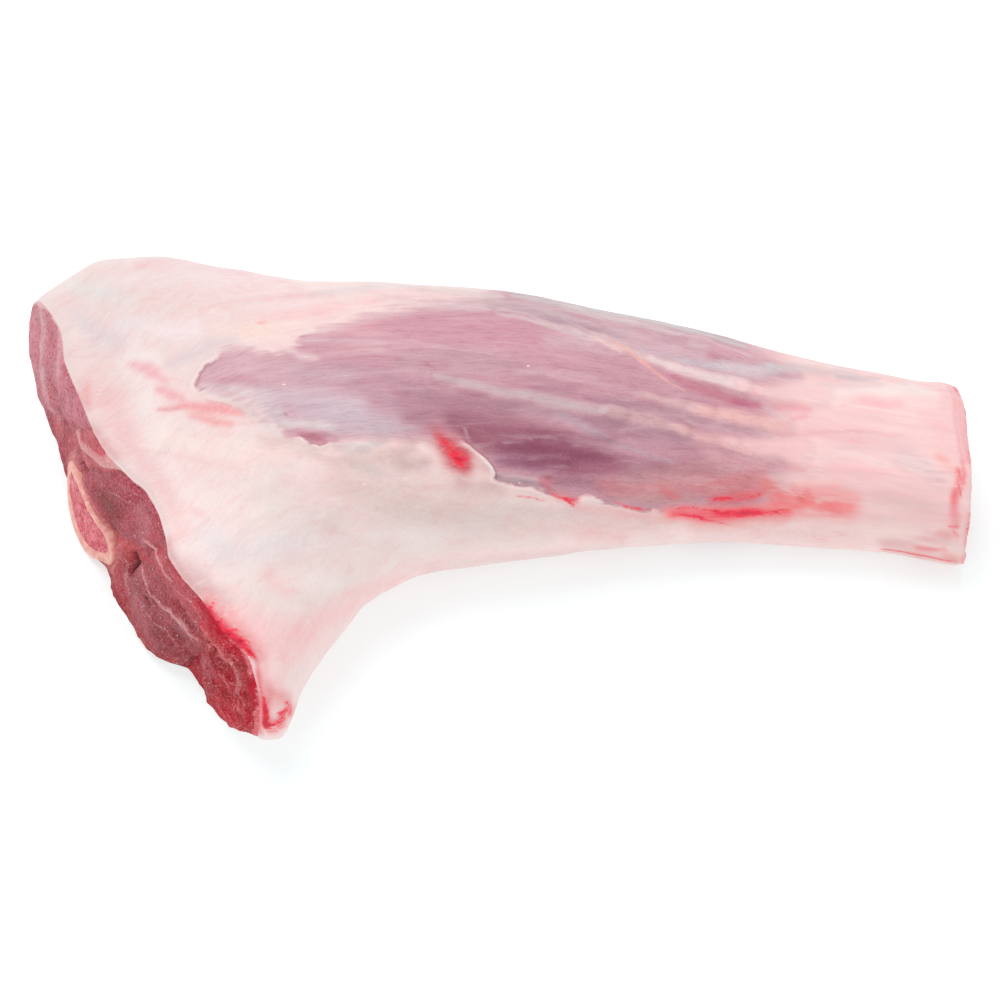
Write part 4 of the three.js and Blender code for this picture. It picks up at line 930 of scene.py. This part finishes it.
skin = skin + norm * lift[..., None] + face_out * rim_shift[..., None] + hock_out * hock_shift[..., None]
skin[..., 2] = np.maximum(skin[..., 2], 0.0)


def cap(t, outer, outer_rest, inner_c, inner_z, rings, grow, looks_of, outward):
    """Rings over an end, from the skin's last ring to the bone's channel. The first ring lies on the skin's last ring.
    """
    oc, oz = outer_rest
    length = np.hypot(oc - inner_c, oz - inner_z)
    s = np.asarray(rings)[:, None]
    # the rings given start with short steps for the rounded edge; each is the same share of the way to the channel all
    # round
    d = np.where(s < 1, 0, 0)
    c = oc + (inner_c - oc) * s
    z = oz + (inner_z - oz) * s
    edge = length * s
    flat = place(t, c, z)
    look = looks_of(c, z, flat, edge)
    p = place(t, c, z, outward * look["high"])
    start = place(t, oc, oz, outward * look["high"][0])
    shift = outer - start
    p = p + shift * (1 - step(0, 1.8, edge))[..., None]
    p[..., 2] = np.maximum(p[..., 2], 0.0)
    return p, c, z, look


def facing(oc, oz, t):
    """Where the channel's rim lies, seen from the bone's middle through each rim point."""
    a = np.arctan2((oz - bone_z(t)) / (bone_rz(t) + SEAT), (oc - bone_c(t)) / (bone_rc(t) + SEAT))
    return a


def channel_ring(t, a, grow=SEAT):
    return bone_c(t) + (bone_rc(t) + grow) * np.cos(a), bone_z(t) + (bone_rz(t) + grow) * np.sin(a)


ang0, ang1 = facing(sec_c[0], sec_z[0], 0.0), facing(hock_c[-1], hock_z[-1], 1.0)
in0, in1 = channel_ring(0.0, ang0), channel_ring(1.0, ang1)
face_rings = np.concatenate([[0.0, 0.004, 0.010, 0.018], np.linspace(0.03, 1, 108)])
hock_rings = np.concatenate([[0.0, 0.015, 0.04, 0.08], np.linspace(0.14, 1, 17)])
face_p, face_c, face_z, face_l = cap(0.0, skin[0], (sec_c[0], sec_z[0]), *in0, face_rings, 0, face_looks, 1.0)
hock_p, hock_cc, hock_zz, hock_l = cap(1.0, skin[-1], (hock_c[-1], hock_z[-1]), *in1, hock_rings, 0, hock_looks, -1.0)

# the channel, from the hock end back to the face
unwrap0, unwrap1 = np.unwrap(ang0), np.unwrap(ang1)
unwrap0 += 2 * math.pi * round((unwrap1[0] - unwrap0[0]) / (2 * math.pi))
chan_t = np.linspace(1, 0, 12)[1:-1]
chan_p = []
for t in chan_t:
    a = unwrap0 * (1 - t) + unwrap1 * t
    chan_p.append(place(t, *channel_ring(t, a)))
chan_p = np.array(chan_p)


def make_mesh(name, pts, faces, slots, materials, smooth_from=None):
    me = bpy.data.meshes.new(name)
    me.vertices.add(len(pts))
    me.vertices.foreach_set("co", ((pts - CENTRE) * MM).astype(np.float32).ravel())
    faces = np.asarray(faces, np.int32)
    me.loops.add(faces.size)
    me.loops.foreach_set("vertex_index", faces.ravel())
    me.polygons.add(len(faces))
    me.polygons.foreach_set("loop_start", np.arange(len(faces), dtype=np.int32) * faces.shape[1])
    me.polygons.foreach_set("material_index", np.asarray(slots, np.int32))
    me.update(calc_edges=True)
    me.validate()
    me.polygons.foreach_set("use_smooth", np.ones(len(faces), bool))
    for m in materials:
        me.materials.append(m)
    ob = bpy.data.objects.new(name, me)
    bpy.context.scene.collection.objects.link(ob)
    return ob


def put(ob, name, values):
    values = np.asarray(values, np.float32)
    if values.ndim == 1:
        a = ob.data.attributes.new(name, "FLOAT", "POINT")
        a.data.foreach_set("value", values)
    elif name.startswith("tint") or name.endswith("tint"):
        a = ob.data.attributes.new(name, "FLOAT_COLOR", "POINT")
        a.data.foreach_set("color", np.concatenate([values, np.ones((len(values), 1), np.float32)], 1).ravel())
    else:
        a = ob.data.attributes.new(name, "FLOAT_VECTOR", "POINT")
        a.data.foreach_set("vector", values.ravel())


def tubes(*runs):
    """Quads over runs of rings, each run an array of points [ring, around, 3]."""
    quads, start = [], 0
    for run in runs:
        idx = start + np.arange(len(run) * N_AROUND).reshape(len(run), N_AROUND)
        quads.append(np.stack([idx[:-1], np.roll(idx, -1, 1)[:-1], np.roll(idx, -1, 1)[1:], idx[1:]], -1).reshape(-1, 4))
        start += idx.size
    return np.concatenate([r.reshape(-1, 3) for r in runs]), np.concatenate(quads)


# --------------------------------------------------------------- materials
class Graph:
    """Builds a node material with short calls."""

    def __init__(self, name):
        self.mat = bpy.data.materials.new(name)
        self.mat.use_nodes = True
        self.t = self.mat.node_tree
        self.t.nodes.clear()
        self.out = self.t.nodes.new("ShaderNodeOutputMaterial")
        self.bsdf = self.t.nodes.new("ShaderNodeBsdfPrincipled")
        self.t.links.new(self.bsdf.outputs[0], self.out.inputs[0])

    def plug(self, socket, value):
        if isinstance(value, bpy.types.NodeSocket):
            self.t.links.new(value, socket)
        elif isinstance(value, (tuple, list, np.ndarray)):
            v = [float(a) for a in value]
            socket.default_value = v + [1.0] if len(socket.default_value) == 4 and len(v) == 3 else v
        else:
            socket.default_value = value

    def attr(self, name, out="Fac"):
        n = self.t.nodes.new("ShaderNodeAttribute")
        n.attribute_name = name
        return n.outputs[out]

    def math(self, op, a, b=None, c=None, clamp=False):
        n = self.t.nodes.new("ShaderNodeMath")
        n.operation, n.use_clamp = op, clamp
        for k, v in enumerate((a, b, c)):
            if v is not None:
                self.plug(n.inputs[k], v)
        return n.outputs[0]

    def vec(self, op, a, b=None):
        n = self.t.nodes.new("ShaderNodeVectorMath")
        n.operation = op
        self.plug(n.inputs[0], a)
        if b is not None:
            self.plug(n.inputs[1], b)
        return n.outputs[0]

    def noise(self, vector, scale, detail=2.0, rough=0.55, distort=0.0):
        n = self.t.nodes.new("ShaderNodeTexNoise")
        self.plug(n.inputs["Vector"], vector)
        n.inputs["Scale"].default_value = scale
        n.inputs["Detail"].default_value = detail
        n.inputs["Roughness"].default_value = rough
        n.inputs["Distortion"].default_value = distort
        return n.outputs["Fac"]

    def cells(self, vector, scale, feature="F1", rand=1.0):
        n = self.t.nodes.new("ShaderNodeTexVoronoi")
        n.feature = feature
        self.plug(n.inputs["Vector"], vector)
        n.inputs["Scale"].default_value = scale
        n.inputs["Randomness"].default_value = rand
        return n.outputs["Distance"]

    def step(self, v, lo, hi, a=0.0, b=1.0):
        n = self.t.nodes.new("ShaderNodeMapRange")
        n.interpolation_type = "SMOOTHSTEP"
        self.plug(n.inputs["Value"], v)
        for key, val in (("From Min", lo), ("From Max", hi), ("To Min", a), ("To Max", b)):
            self.plug(n.inputs[key], val)
        return n.outputs[0]

    def mix(self, fac, a, b, blend="MIX"):
        n = self.t.nodes.new("ShaderNodeMix")
        n.data_type, n.blend_type = "RGBA", blend
        n.clamp_factor = True
        self.plug(n.inputs[0], fac)
        self.plug(n.inputs[6], a)
        self.plug(n.inputs[7], b)
        return n.outputs[2]

    def bump(self, height, strength, distance, normal=None):
        n = self.t.nodes.new("ShaderNodeBump")
        n.inputs["Strength"].default_value = strength
        n.inputs["Distance"].default_value = distance
        self.plug(n.inputs["Height"], height)
        if normal is not None:
            self.plug(n.inputs["Normal"], normal)
        return n.outputs[0]

    def finish(self, color, rough, normal, sss=0.12, sss_scale=0.004, radius=(1.0, 0.35, 0.25), spec=0.5, coat=0.0, coat_rough=0.2):
        b = self.bsdf
        self.plug(b.inputs["Base Color"], color)
        self.plug(b.inputs["Roughness"], rough)
        if normal is not None:
            self.plug(b.inputs["Normal"], normal)
        b.inputs["Subsurface Weight"].default_value = sss
        b.inputs["Subsurface Scale"].default_value = sss_scale
        b.inputs["Subsurface Radius"].default_value = radius
        b.inputs["Specular IOR Level"].default_value = spec
        b.inputs["Coat Weight"].default_value = coat
        b.inputs["Coat Roughness"].default_value = coat_rough
        return self.mat


BLOOD_HALO = tuple(srgb(252, 122, 130))
BLOOD_BRIGHT = (0.86, 0.010, 0.056)
BLOOD_DEEP = (0.54, 0.002, 0.024)


def skin_material():
    g = Graph("skin_and_fat")
    b = g.attr("body", "Vector")  # straightened place on the shank, mm
    fine = g.vec("MULTIPLY", b, (0.12, 1.0, 1.0))
    slow = g.vec("MULTIPLY", b, (0.35, 1.0, 1.0))
    fib = g.noise(fine, 1.9, 2.0, 0.55, 0.3)
    broad = g.noise(fine, 0.42, 3.0, 0.55, 0.5)
    blot = g.noise(slow, 0.15, 3.0, 0.6)
    dots = g.noise(b, 2.0, 2.0, 0.6)
    # muscle under its membrane; the hock's sheath hides the grain
    bare = g.math("SUBTRACT", 1.0, g.attr("sheath"))

    def on(v):
        return g.math("MULTIPLY", bare, v)

    muscle = g.attr("tint", "Color")
    muscle = g.mix(on(g.step(fib, 0.54, 0.30, 0.0, 0.55)), muscle, (0.84, 0.72, 0.78), "MULTIPLY")
    muscle = g.mix(on(g.step(broad, 0.52, 0.30, 0.0, 0.55)), muscle, (0.88, 0.78, 0.84), "MULTIPLY")
    muscle = g.mix(on(g.step(broad, 0.50, 0.72, 0.0, 0.18)), muscle, srgb(236, 210, 218))
    muscle = g.mix(on(g.step(dots, 0.56, 0.70, 0.0, 0.09)), muscle, srgb(240, 218, 226))
    muscle = g.mix(on(g.step(dots, 0.44, 0.28, 0.0, 0.28)), muscle, (0.82, 0.68, 0.74), "MULTIPLY")
    muscle = g.mix(on(g.step(blot, 0.50, 0.28, 0.0, 0.45)), muscle, (0.90, 0.80, 0.86), "MULTIPLY")
    web = g.cells(g.vec("MULTIPLY", b, (0.30, 1.0, 1.0)), 0.42, "DISTANCE_TO_EDGE")
    muscle = g.mix(on(g.step(web, 0.045, 0.0, 0.0, 0.12)), muscle, (0.86, 0.62, 0.70), "MULTIPLY")
    # faint streaks and blots in the sheath of the hock
    streak = g.noise(g.vec("MULTIPLY", b, (0.12, 1.0, 1.0)), 0.34, 4.0, 0.6, 0.6)
    cloud = g.noise(g.vec("MULTIPLY", b, (0.6, 1.0, 1.0)), 0.22, 4.0, 0.6, 0.4)
    muscle = g.mix(g.math("MULTIPLY", g.attr("sheath"), g.step(streak, 0.52, 0.70, 0.0, 0.32)), muscle, srgb(244, 182, 186))
    muscle = g.mix(g.math("MULTIPLY", g.attr("sheath"), g.step(streak, 0.46, 0.32, 0.0, 0.34)), muscle, srgb(255, 234, 230))
    muscle = g.mix(g.math("MULTIPLY", g.attr("sheath"), g.step(cloud, 0.54, 0.70, 0.0, 0.34)), muscle, srgb(252, 192, 194))
    muscle = g.mix(g.math("MULTIPLY", g.attr("sheath"), g.step(cloud, 0.46, 0.30, 0.0, 0.22)), muscle, srgb(226, 204, 212))
    # fat
    fat = g.attr("fat_tint", "Color")
    mottle = g.noise(slow, 0.16, 4.0, 0.55, 0.6)
    fat = g.mix(g.step(mottle, 0.50, 0.68, 0.0, 1.0), fat, (1.0, 0.945, 0.95), "MULTIPLY")
    fat = g.mix(g.step(mottle, 0.48, 0.32, 0.0, 0.9), fat, (0.975, 1.01, 1.015), "MULTIPLY")
    wisp = g.noise(g.vec("MULTIPLY", b, (0.42, 1.0, 1.0)), 0.34, 5.0, 0.60, 1.2)
    fat = g.mix(g.step(wisp, 0.52, 0.68, 0.0, 0.70), fat, (0.99, 0.89, 0.885), "MULTIPLY")
    fat = g.mix(g.step(wisp, 0.46, 0.30, 0.0, 0.20), fat, srgb(254, 240, 236))
    grain = g.noise(b, 1.4, 3.0, 0.6)
    fat = g.mix(g.step(grain, 0.52, 0.32, 0.0, 0.40), fat, (0.94, 0.90, 0.90), "MULTIPLY")
    silk = g.noise(g.vec("MULTIPLY", b, (0.40, 1.0, 1.0)), 0.85, 4.0, 0.6, 1.4)
    fat = g.mix(g.step(silk, 0.52, 0.32, 0.0, 0.35), fat, (0.955, 0.90, 0.89), "MULTIPLY")
    fat = g.mix(g.step(silk, 0.53, 0.70, 0.0, 0.16), fat, srgb(255, 242, 238))
    # its edge: ragged where torn, drawn out along the fibres where it thins away
    torn_by = g.attr("torn")
    edge_n = g.math("MULTIPLY", g.math("SUBTRACT", g.noise(b, 0.30, 3.0, 0.5), 0.5), 1.1)
    edge_s = g.math("MULTIPLY", g.math("SUBTRACT", g.noise(g.vec("MULTIPLY", b, (0.14, 1.0, 1.0)), 0.50, 4.0, 0.62, 0.4), 0.5), g.step(torn_by, 0.0, 1.0, 5.0, 0.0))
    edge_n = g.math("ADD", edge_n, edge_s)
    gap = g.math("ADD", g.attr("fat"), edge_n)
    width = g.math("MAXIMUM", g.attr("melt"), 0.15)
    fat_on = g.step(g.math("DIVIDE", gap, width), -1.0, 1.0)
    col = g.mix(fat_on, muscle, fat)
    # where the fat is torn: a lighter lip, partly the fat's own cream and partly painted highlight, and a painted
    # shadow line below it
    lip = g.math("MULTIPLY", g.attr("torn"), g.step(g.math("ABSOLUTE", g.math("ADD", gap, -0.5)), 0.55, 0.0))
    col = g.mix(g.math("MULTIPLY", lip, 0.6), col, srgb(250, 234, 230))
    under = g.math("MULTIPLY", g.attr("torn"), g.step(g.math("ABSOLUTE", g.math("ADD", gap, 0.35)), 0.40, 0.0))
    col = g.mix(g.math("MULTIPLY", under, 0.45), col, srgb(150, 84, 100))
    # blood, bright at the heart and soft at the edge
    bn = g.noise(g.vec("MULTIPLY", b, (0.45, 1.0, 1.0)), 0.95, 5.0, 0.74, 1.0)
    bs = g.noise(g.vec("MULTIPLY", b, (0.6, 1.0, 1.0)), 2.2, 3.0, 0.7, 0.5)
    bd = g.attr("blood")
    bm = g.math("ADD", bd, g.math("MULTIPLY", g.math("SUBTRACT", bn, 0.48), g.step(bd, 0.02, 0.40, 0.0, 2.0)))
    bm = g.math("ADD", bm, g.math("MULTIPLY", g.math("SUBTRACT", bs, 0.5), g.step(bd, 0.10, 0.50, 0.0, 0.8)))
    col = g.mix(g.step(bm, 0.0, 0.36, 0.0, 0.40), col, BLOOD_HALO)
    col = g.mix(g.step(bm, 0.26, 0.70, 0.0, 0.88), col, BLOOD_BRIGHT)
    col = g.mix(g.step(bm, 0.80, 1.15, 0.0, 0.92), col, BLOOD_DEEP)
    # painted highlights: a few small white glints, as on a wet surface
    glint_cells = g.cells(g.vec("MULTIPLY", b, (0.6, 1.0, 1.0)), 0.13)
    col = g.mix(g.step(glint_cells, 0.045, 0.02, 0.0, 0.7), col, srgb(255, 240, 240))
    # gloss and small relief
    rough = g.step(g.noise(slow, 0.5, 3.0, 0.6), 0.3, 0.7, 0.34, 0.50)
    off_fat = g.math("SUBTRACT", 1.0, fat_on)
    h = g.math("MULTIPLY", g.math("MULTIPLY", fib, off_fat), 0.40)
    h = g.math("ADD", h, g.math("MULTIPLY", g.noise(b, 1.4, 3.0, 0.6), 0.22))
    h = g.math("ADD", h, g.math("MULTIPLY", fat_on, g.math("MULTIPLY", g.noise(b, 0.45, 3.0, 0.6), 0.5)))
    n = g.bump(h, 0.4, 0.0006)
    return g.finish(col, rough, n, sss=0.10, sss_scale=0.004, spec=0.40)


def cut_material(name):
    g = Graph(name)
    b = g.attr("body", "Vector")
    col = g.attr("tint", "Color")
    grain = g.noise(b, 1.5, 4.0, 0.7, 0.4)
    grit = g.noise(b, 2.6, 3.0, 0.7)
    clump = g.noise(b, 0.45, 3.0, 0.6, 0.5)
    meaty = g.math("SUBTRACT", 1.0, g.math("MULTIPLY", g.attr("pale"), 0.7))

    def on(v):
        return g.math("MULTIPLY", meaty, v)

    col = g.mix(on(g.step(grain, 0.52, 0.36, 0.0, 0.85)), col, (0.69, 0.34, 0.38), "MULTIPLY")
    col = g.mix(on(g.step(clump, 0.50, 0.34, 0.0, 0.55)), col, (0.86, 0.53, 0.57), "MULTIPLY")
    col = g.mix(on(g.step(grain, 0.53, 0.66, 0.0, 0.46)), col, cut(236, 160, 168))
    specks = g.math("MULTIPLY", g.math("ADD", g.math("MULTIPLY", g.attr("speck"), 0.7), 0.3), g.step(grit, 0.56, 0.68, 0.0, 0.60))
    col = g.mix(on(specks), col, cut(240, 198, 202))
    col = g.mix(g.step(g.noise(b, 0.16, 3.0, 0.55), 0.52, 0.72, 0.0, 0.35), col, (0.92, 0.66, 0.66), "MULTIPLY")
    col = g.mix(g.math("MULTIPLY", g.attr("pale"), g.step(grain, 0.50, 0.66, 0.0, 0.55)), col, cut(248, 210, 204))
    crumbs = g.math("MULTIPLY", g.attr("fleck"), g.step(g.noise(b, 0.75, 4.0, 0.65, 0.8), 0.50, 0.60, 0.0, 0.85))
    col = g.mix(crumbs, col, cut(232, 140, 144))
    bl = g.math("ADD", g.attr("blood"), g.math("MULTIPLY", g.math("SUBTRACT", g.noise(b, 0.6, 5.0, 0.68, 0.6), 0.5), g.step(g.attr("blood"), 0.0, 0.4, 0.0, 2.0)))
    col = g.mix(g.step(bl, 0.15, 0.75, 0.0, 0.88), col, (0.50, 0.008, 0.030))
    fat_n = g.math("ADD", g.attr("fat"), g.math("MULTIPLY", g.math("SUBTRACT", g.noise(b, 0.9, 3.0, 0.6), 0.5), 0.8))
    col = g.mix(g.step(fat_n, 0.35, 0.65, 0.0, 0.92), col, cut(246, 190, 190))
    col = g.mix(g.step(bl, 0.45, 0.95, 0.0, 0.80), col, (0.66, 0.010, 0.036))
    col = g.mix(g.step(bl, 0.95, 1.35, 0.0, 0.85), col, (0.34, 0.003, 0.014))
    # painted shade: the pits are darkened to a deep red-black
    col = g.mix(g.step(g.attr("pocket"), 0.1, 0.9, 0.0, 0.85), col, cut(96, 24, 34))
    # painted highlights: small white glints over the cut face
    glint = g.cells(b, 0.42)
    col = g.mix(g.step(glint, 0.10, 0.05, 0.0, 0.75), col, cut(255, 232, 232))
    rough = g.step(g.noise(b, 0.5, 3.0, 0.6), 0.35, 0.65, 0.34, 0.52)
    h = g.math("ADD", g.math("MULTIPLY", grain, 1.0), g.math("MULTIPLY", grit, 0.5))
    n = g.bump(h, 0.8, 0.0009)
    return g.finish(col, rough, n, sss=0.04, sss_scale=0.002, spec=0.15)


def bone_material():
    g = Graph("sawn_bone")
    b = g.attr("body", "Vector")
    core = g.attr("core")  # 1 inside the spongy middle, 0 on the hard ring
    pores = g.cells(b, 1.1)
    web = g.cells(b, 1.1, "DISTANCE_TO_EDGE")
    spongy = g.mix(g.step(g.noise(b, 0.35, 3.0, 0.6), 0.35, 0.65), cut(222, 126, 136), cut(202, 92, 106))
    spongy = g.mix(g.step(pores, 0.30, 0.08, 0.0, 0.6), spongy, cut(168, 62, 74))
    spongy = g.mix(g.step(web, 0.10, 0.02, 0.0, 0.35), spongy, cut(240, 188, 182))
    spongy = g.mix(g.step(g.noise(g.vec("MULTIPLY", b, (1.0, 0.35, 1.0)), 0.7, 3.0, 0.6), 0.56, 0.70, 0.0, 0.7), spongy, cut(160, 50, 64))
    ring = g.mix(g.step(g.noise(b, 0.5, 3.0, 0.6), 0.35, 0.65), cut(222, 156, 148), cut(238, 186, 174))
    ring = g.mix(g.step(g.noise(b, 1.3, 3.0, 0.6), 0.56, 0.70, 0.0, 0.5), ring, cut(200, 104, 104))
    k = g.math("ADD", core, g.math("MULTIPLY", g.math("SUBTRACT", g.noise(b, 0.9, 3.0, 0.6), 0.5), 0.5))
    col = g.mix(g.step(k, 0.35, 0.65), ring, spongy)
    h = g.math("MULTIPLY", g.math("MULTIPLY", web, 1.0), g.step(core, 0.3, 0.8))
    n = g.bump(g.math("ADD", h, g.math("MULTIPLY", g.noise(b, 2.0, 2.0, 0.6), 0.3)), 0.6, 0.0005)
    return g.finish(col, g.step(g.noise(b, 0.7), 0.3, 0.7, 0.36, 0.54), n, sss=0.04, sss_scale=0.002, spec=0.2)


# The flesh: the skin side, and the channel that the bone runs in.
channel = np.concatenate([hock_p[-1:], chan_p, face_p[-1:]])
pts, quads = tubes(skin, channel)
flesh = make_mesh("meat_flesh", pts, quads, np.zeros(len(quads), int), [skin_material()])
plain = np.zeros(channel.shape[:2])
put(flesh, "body", np.concatenate([body, np.zeros(channel.shape)]).reshape(-1, 3))
put(flesh, "tint", np.concatenate([looks["tint"], plain[..., None] + cut(176, 90, 96)]).reshape(-1, 3))
put(flesh, "fat_tint", np.concatenate([looks["fat_tint"], plain[..., None] + cut(176, 90, 96)]).reshape(-1, 3))
put(flesh, "fat", np.concatenate([looks["fat"], plain - 9]).reshape(-1))
for key in ("torn", "sheath", "melt", "blood"):
    put(flesh, key, np.concatenate([looks[key], plain]).reshape(-1))

# The two cut ends of the meat.
ends = []
for name, run, look, cc, zz, at, flip in (("sawn_face", face_p, face_l, face_c, face_z, 0.0, True),
                                          ("hock_cut", hock_p, hock_l, hock_cc, hock_zz, 226.0, False)):
    pts, quads = tubes(run)
    ob = make_mesh(name, pts, quads[:, ::-1] if flip else quads, np.zeros(len(quads), int), [cut_material(name)])
    put(ob, "body", np.stack([np.full_like(cc, at), cc, zz], -1).reshape(-1, 3))
    put(ob, "tint", look["tint"].reshape(-1, 3))
    for key in ("fat", "blood", "pale", "fleck", "pocket", "speck"):
        put(ob, key, np.asarray(look[key]).reshape(-1))
    ends.append(ob)

# --------------------------------------------------------------------- bone
NB = 144


def bone_rings():
    a = np.arange(NB) / NB * 2 * math.pi
    rows, core, bod = [], [], []

    def end(t, scales, outward):
        for s in scales:
            c, z = bone_c(t) + bone_rc(t) * s * np.cos(a), bone_z(t) + bone_rz(t) * s * np.sin(a)
            p0 = np.stack([0 * c, c, z], -1)
            r = np.full(NB, s)
            thick_ring = 0.13 + 0.14 * (1 - t) * np.clip(-np.sin(a), 0, 1) + 0.05 * noise(np.stack([np.cos(a) * 2, np.sin(a) * 2, 0 * a], -1), 1.0, 91)
            inner = step(1 - thick_ring - 0.05, 1 - thick_ring - 0.16, r)
            pit = np.minimum(0, noise(p0, 1.0, 92)) * 0.35 * inner + 0.10 * noise(p0, 2.5, 93)
            dome = 0.25 * inner * -1 + 0.35 * step(1.0, 0.97, r)
            rows.append(place(t, c, z, outward * (dome + pit) + (BONE_PROUD if t == 0 else hock_wave(c))))
            core.append(inner)
            bod.append(np.stack([np.full(NB, 0.0 if t == 0 else 226.0), c, z], -1))

    end(0.0, np.concatenate([[0.0], np.linspace(0.04, 0.965, 26), [0.985]]), 1.0)
    for k, t in enumerate(np.concatenate([[0.0], np.linspace(0.002, 1, 40)])):
        c = bone_c(t) + bone_rc(t) * np.cos(a)
        rows.append(place(t, c, bone_z(t) + bone_rz(t) * np.sin(a), BONE_PROUD - 0.15 if k == 0 else hock_wave(c) * step(0.95, 1, t)))
        core.append(np.zeros(NB))
        bod.append(np.stack([np.full(NB, along(t)), bone_c(t) + bone_rc(t) * np.cos(a), bone_z(t) + bone_rz(t) * np.sin(a)], -1))
    end(1.0, np.concatenate([[0.985], np.linspace(0.965, 0.04, 26), [0.0]]), -1.0)
    return np.array(rows), np.array(core), np.array(bod)


bp, bcore, bbody = bone_rings()
nb = len(bp)
flat = bp[1:-1].reshape(-1, 3)
bone_pts = np.concatenate([bp[:1, 0], flat, bp[-1:, 0]])
inner_n = nb - 2
bi = 1 + np.arange(inner_n * NB).reshape(inner_n, NB)
bq = np.stack([bi[:-1], bi[1:], np.roll(bi[1:], -1, 1), np.roll(bi[:-1], -1, 1)], -1).reshape(-1, 4)[:, ::-1]
tri0 = np.stack([np.zeros(NB, int), bi[0], np.roll(bi[0], -1)], -1)[:, ::-1]
last = len(bone_pts) - 1
tri1 = np.stack([bi[-1], np.full(NB, last), np.roll(bi[-1], -1)], -1)[:, ::-1]
bm = bpy.data.meshes.new("bone_core")
bm.from_pydata(((bone_pts - CENTRE) * MM).tolist(), [], bq.tolist() + tri0.tolist() + tri1.tolist())
bm.validate()
bm.polygons.foreach_set("use_smooth", np.ones(len(bm.polygons), bool))
bm.materials.append(bone_material())
bone = bpy.data.objects.new("bone_core", bm)
bpy.context.scene.collection.objects.link(bone)


def bone_values(v):
    return np.concatenate([v[:1, 0], v[1:-1].reshape((-1,) + v.shape[2:]), v[-1:, 0]])


put(bone, "core", bone_values(bcore))
put(bone, "body", bone_values(bbody))

for ob, node, slot in ((flesh, "meat", "meat"), (ends[0], "meat", "meat"), (ends[1], "meat", "meat"), (bone, "bone", "bone")):
    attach(ob, "root")
    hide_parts(node)

# ------------------------------------------------------------------- stage
g = Graph("pale_table")
tone = g.step(g.noise(g.attr("place", "Vector"), 3.0, 2.0), 0.3, 0.7)
g.finish(g.mix(tone, (0.725, 0.815, 0.82), (0.735, 0.825, 0.83)), 0.7, None, sss=0.0, spec=0.2)
g.bsdf.inputs["Emission Color"].default_value = (0.98, 1.0, 1.0, 1.0)  # a lit table, as for a cut-out picture
g.bsdf.inputs["Emission Strength"].default_value = 0.34
fm = bpy.data.meshes.new("table")
S = 6.0
fm.from_pydata([(-S, -S, 0), (S, -S, 0), (S, S, 0), (-S, S, 0)], [], [(0, 1, 2, 3)])
fm.materials.append(g.mat)
floor = bpy.data.objects.new("table", fm)
floor.location = (0, 0, -0.0002)
bpy.context.scene.collection.objects.link(floor)
put(floor, "place", [(-S, -S, 0), (S, -S, 0), (S, S, 0), (-S, S, 0)])

world = bpy.data.worlds.new("studio")
world.use_nodes = True
world.node_tree.nodes["Background"].inputs[0].default_value = (1.0, 0.995, 0.99, 1.0)
world.node_tree.nodes["Background"].inputs[1].default_value = 0.68
bpy.context.scene.world = world


def area(name, at, to, size, power, color=(1, 1, 1)):
    light = bpy.data.lights.new(name, "AREA")
    light.shape, light.size, light.energy, light.color = "DISK", size, power, color
    ob = bpy.data.objects.new(name, light)
    ob.location = at
    d = np.array(to, float) - np.array(at, float)
    from mathutils import Vector
    ob.rotation_euler = Vector(d).to_track_quat("-Z", "Y").to_euler()
    bpy.context.scene.collection.objects.link(ob)
    return ob


area("soft_key", (-0.40, 0.62, 1.55), (0.0, 0.0, 0.02), 1.6, 14.6)
area("fill", (0.6, -1.0, 1.3), (0.0, 0.0, 0.02), 1.4, 4.0)

view = bpy.context.scene.view_settings
view.view_transform = "Standard"
view.look = "None"
view.exposure = 0.0
view.gamma = 1.0

cam_data = bpy.data.cameras.new("camera")
cam_data.lens = LENS
cam_data.sensor_width = 36.0
cam_data.clip_end = 20.0
cam = bpy.data.objects.new("camera", cam_data)
cam.location = (CAM_AT - CENTRE) * MM
cam.rotation_euler = (math.radians(90.0) - ELEV, 0.0, 0.0)
bpy.context.scene.collection.objects.link(cam)
bpy.context.scene.camera = cam
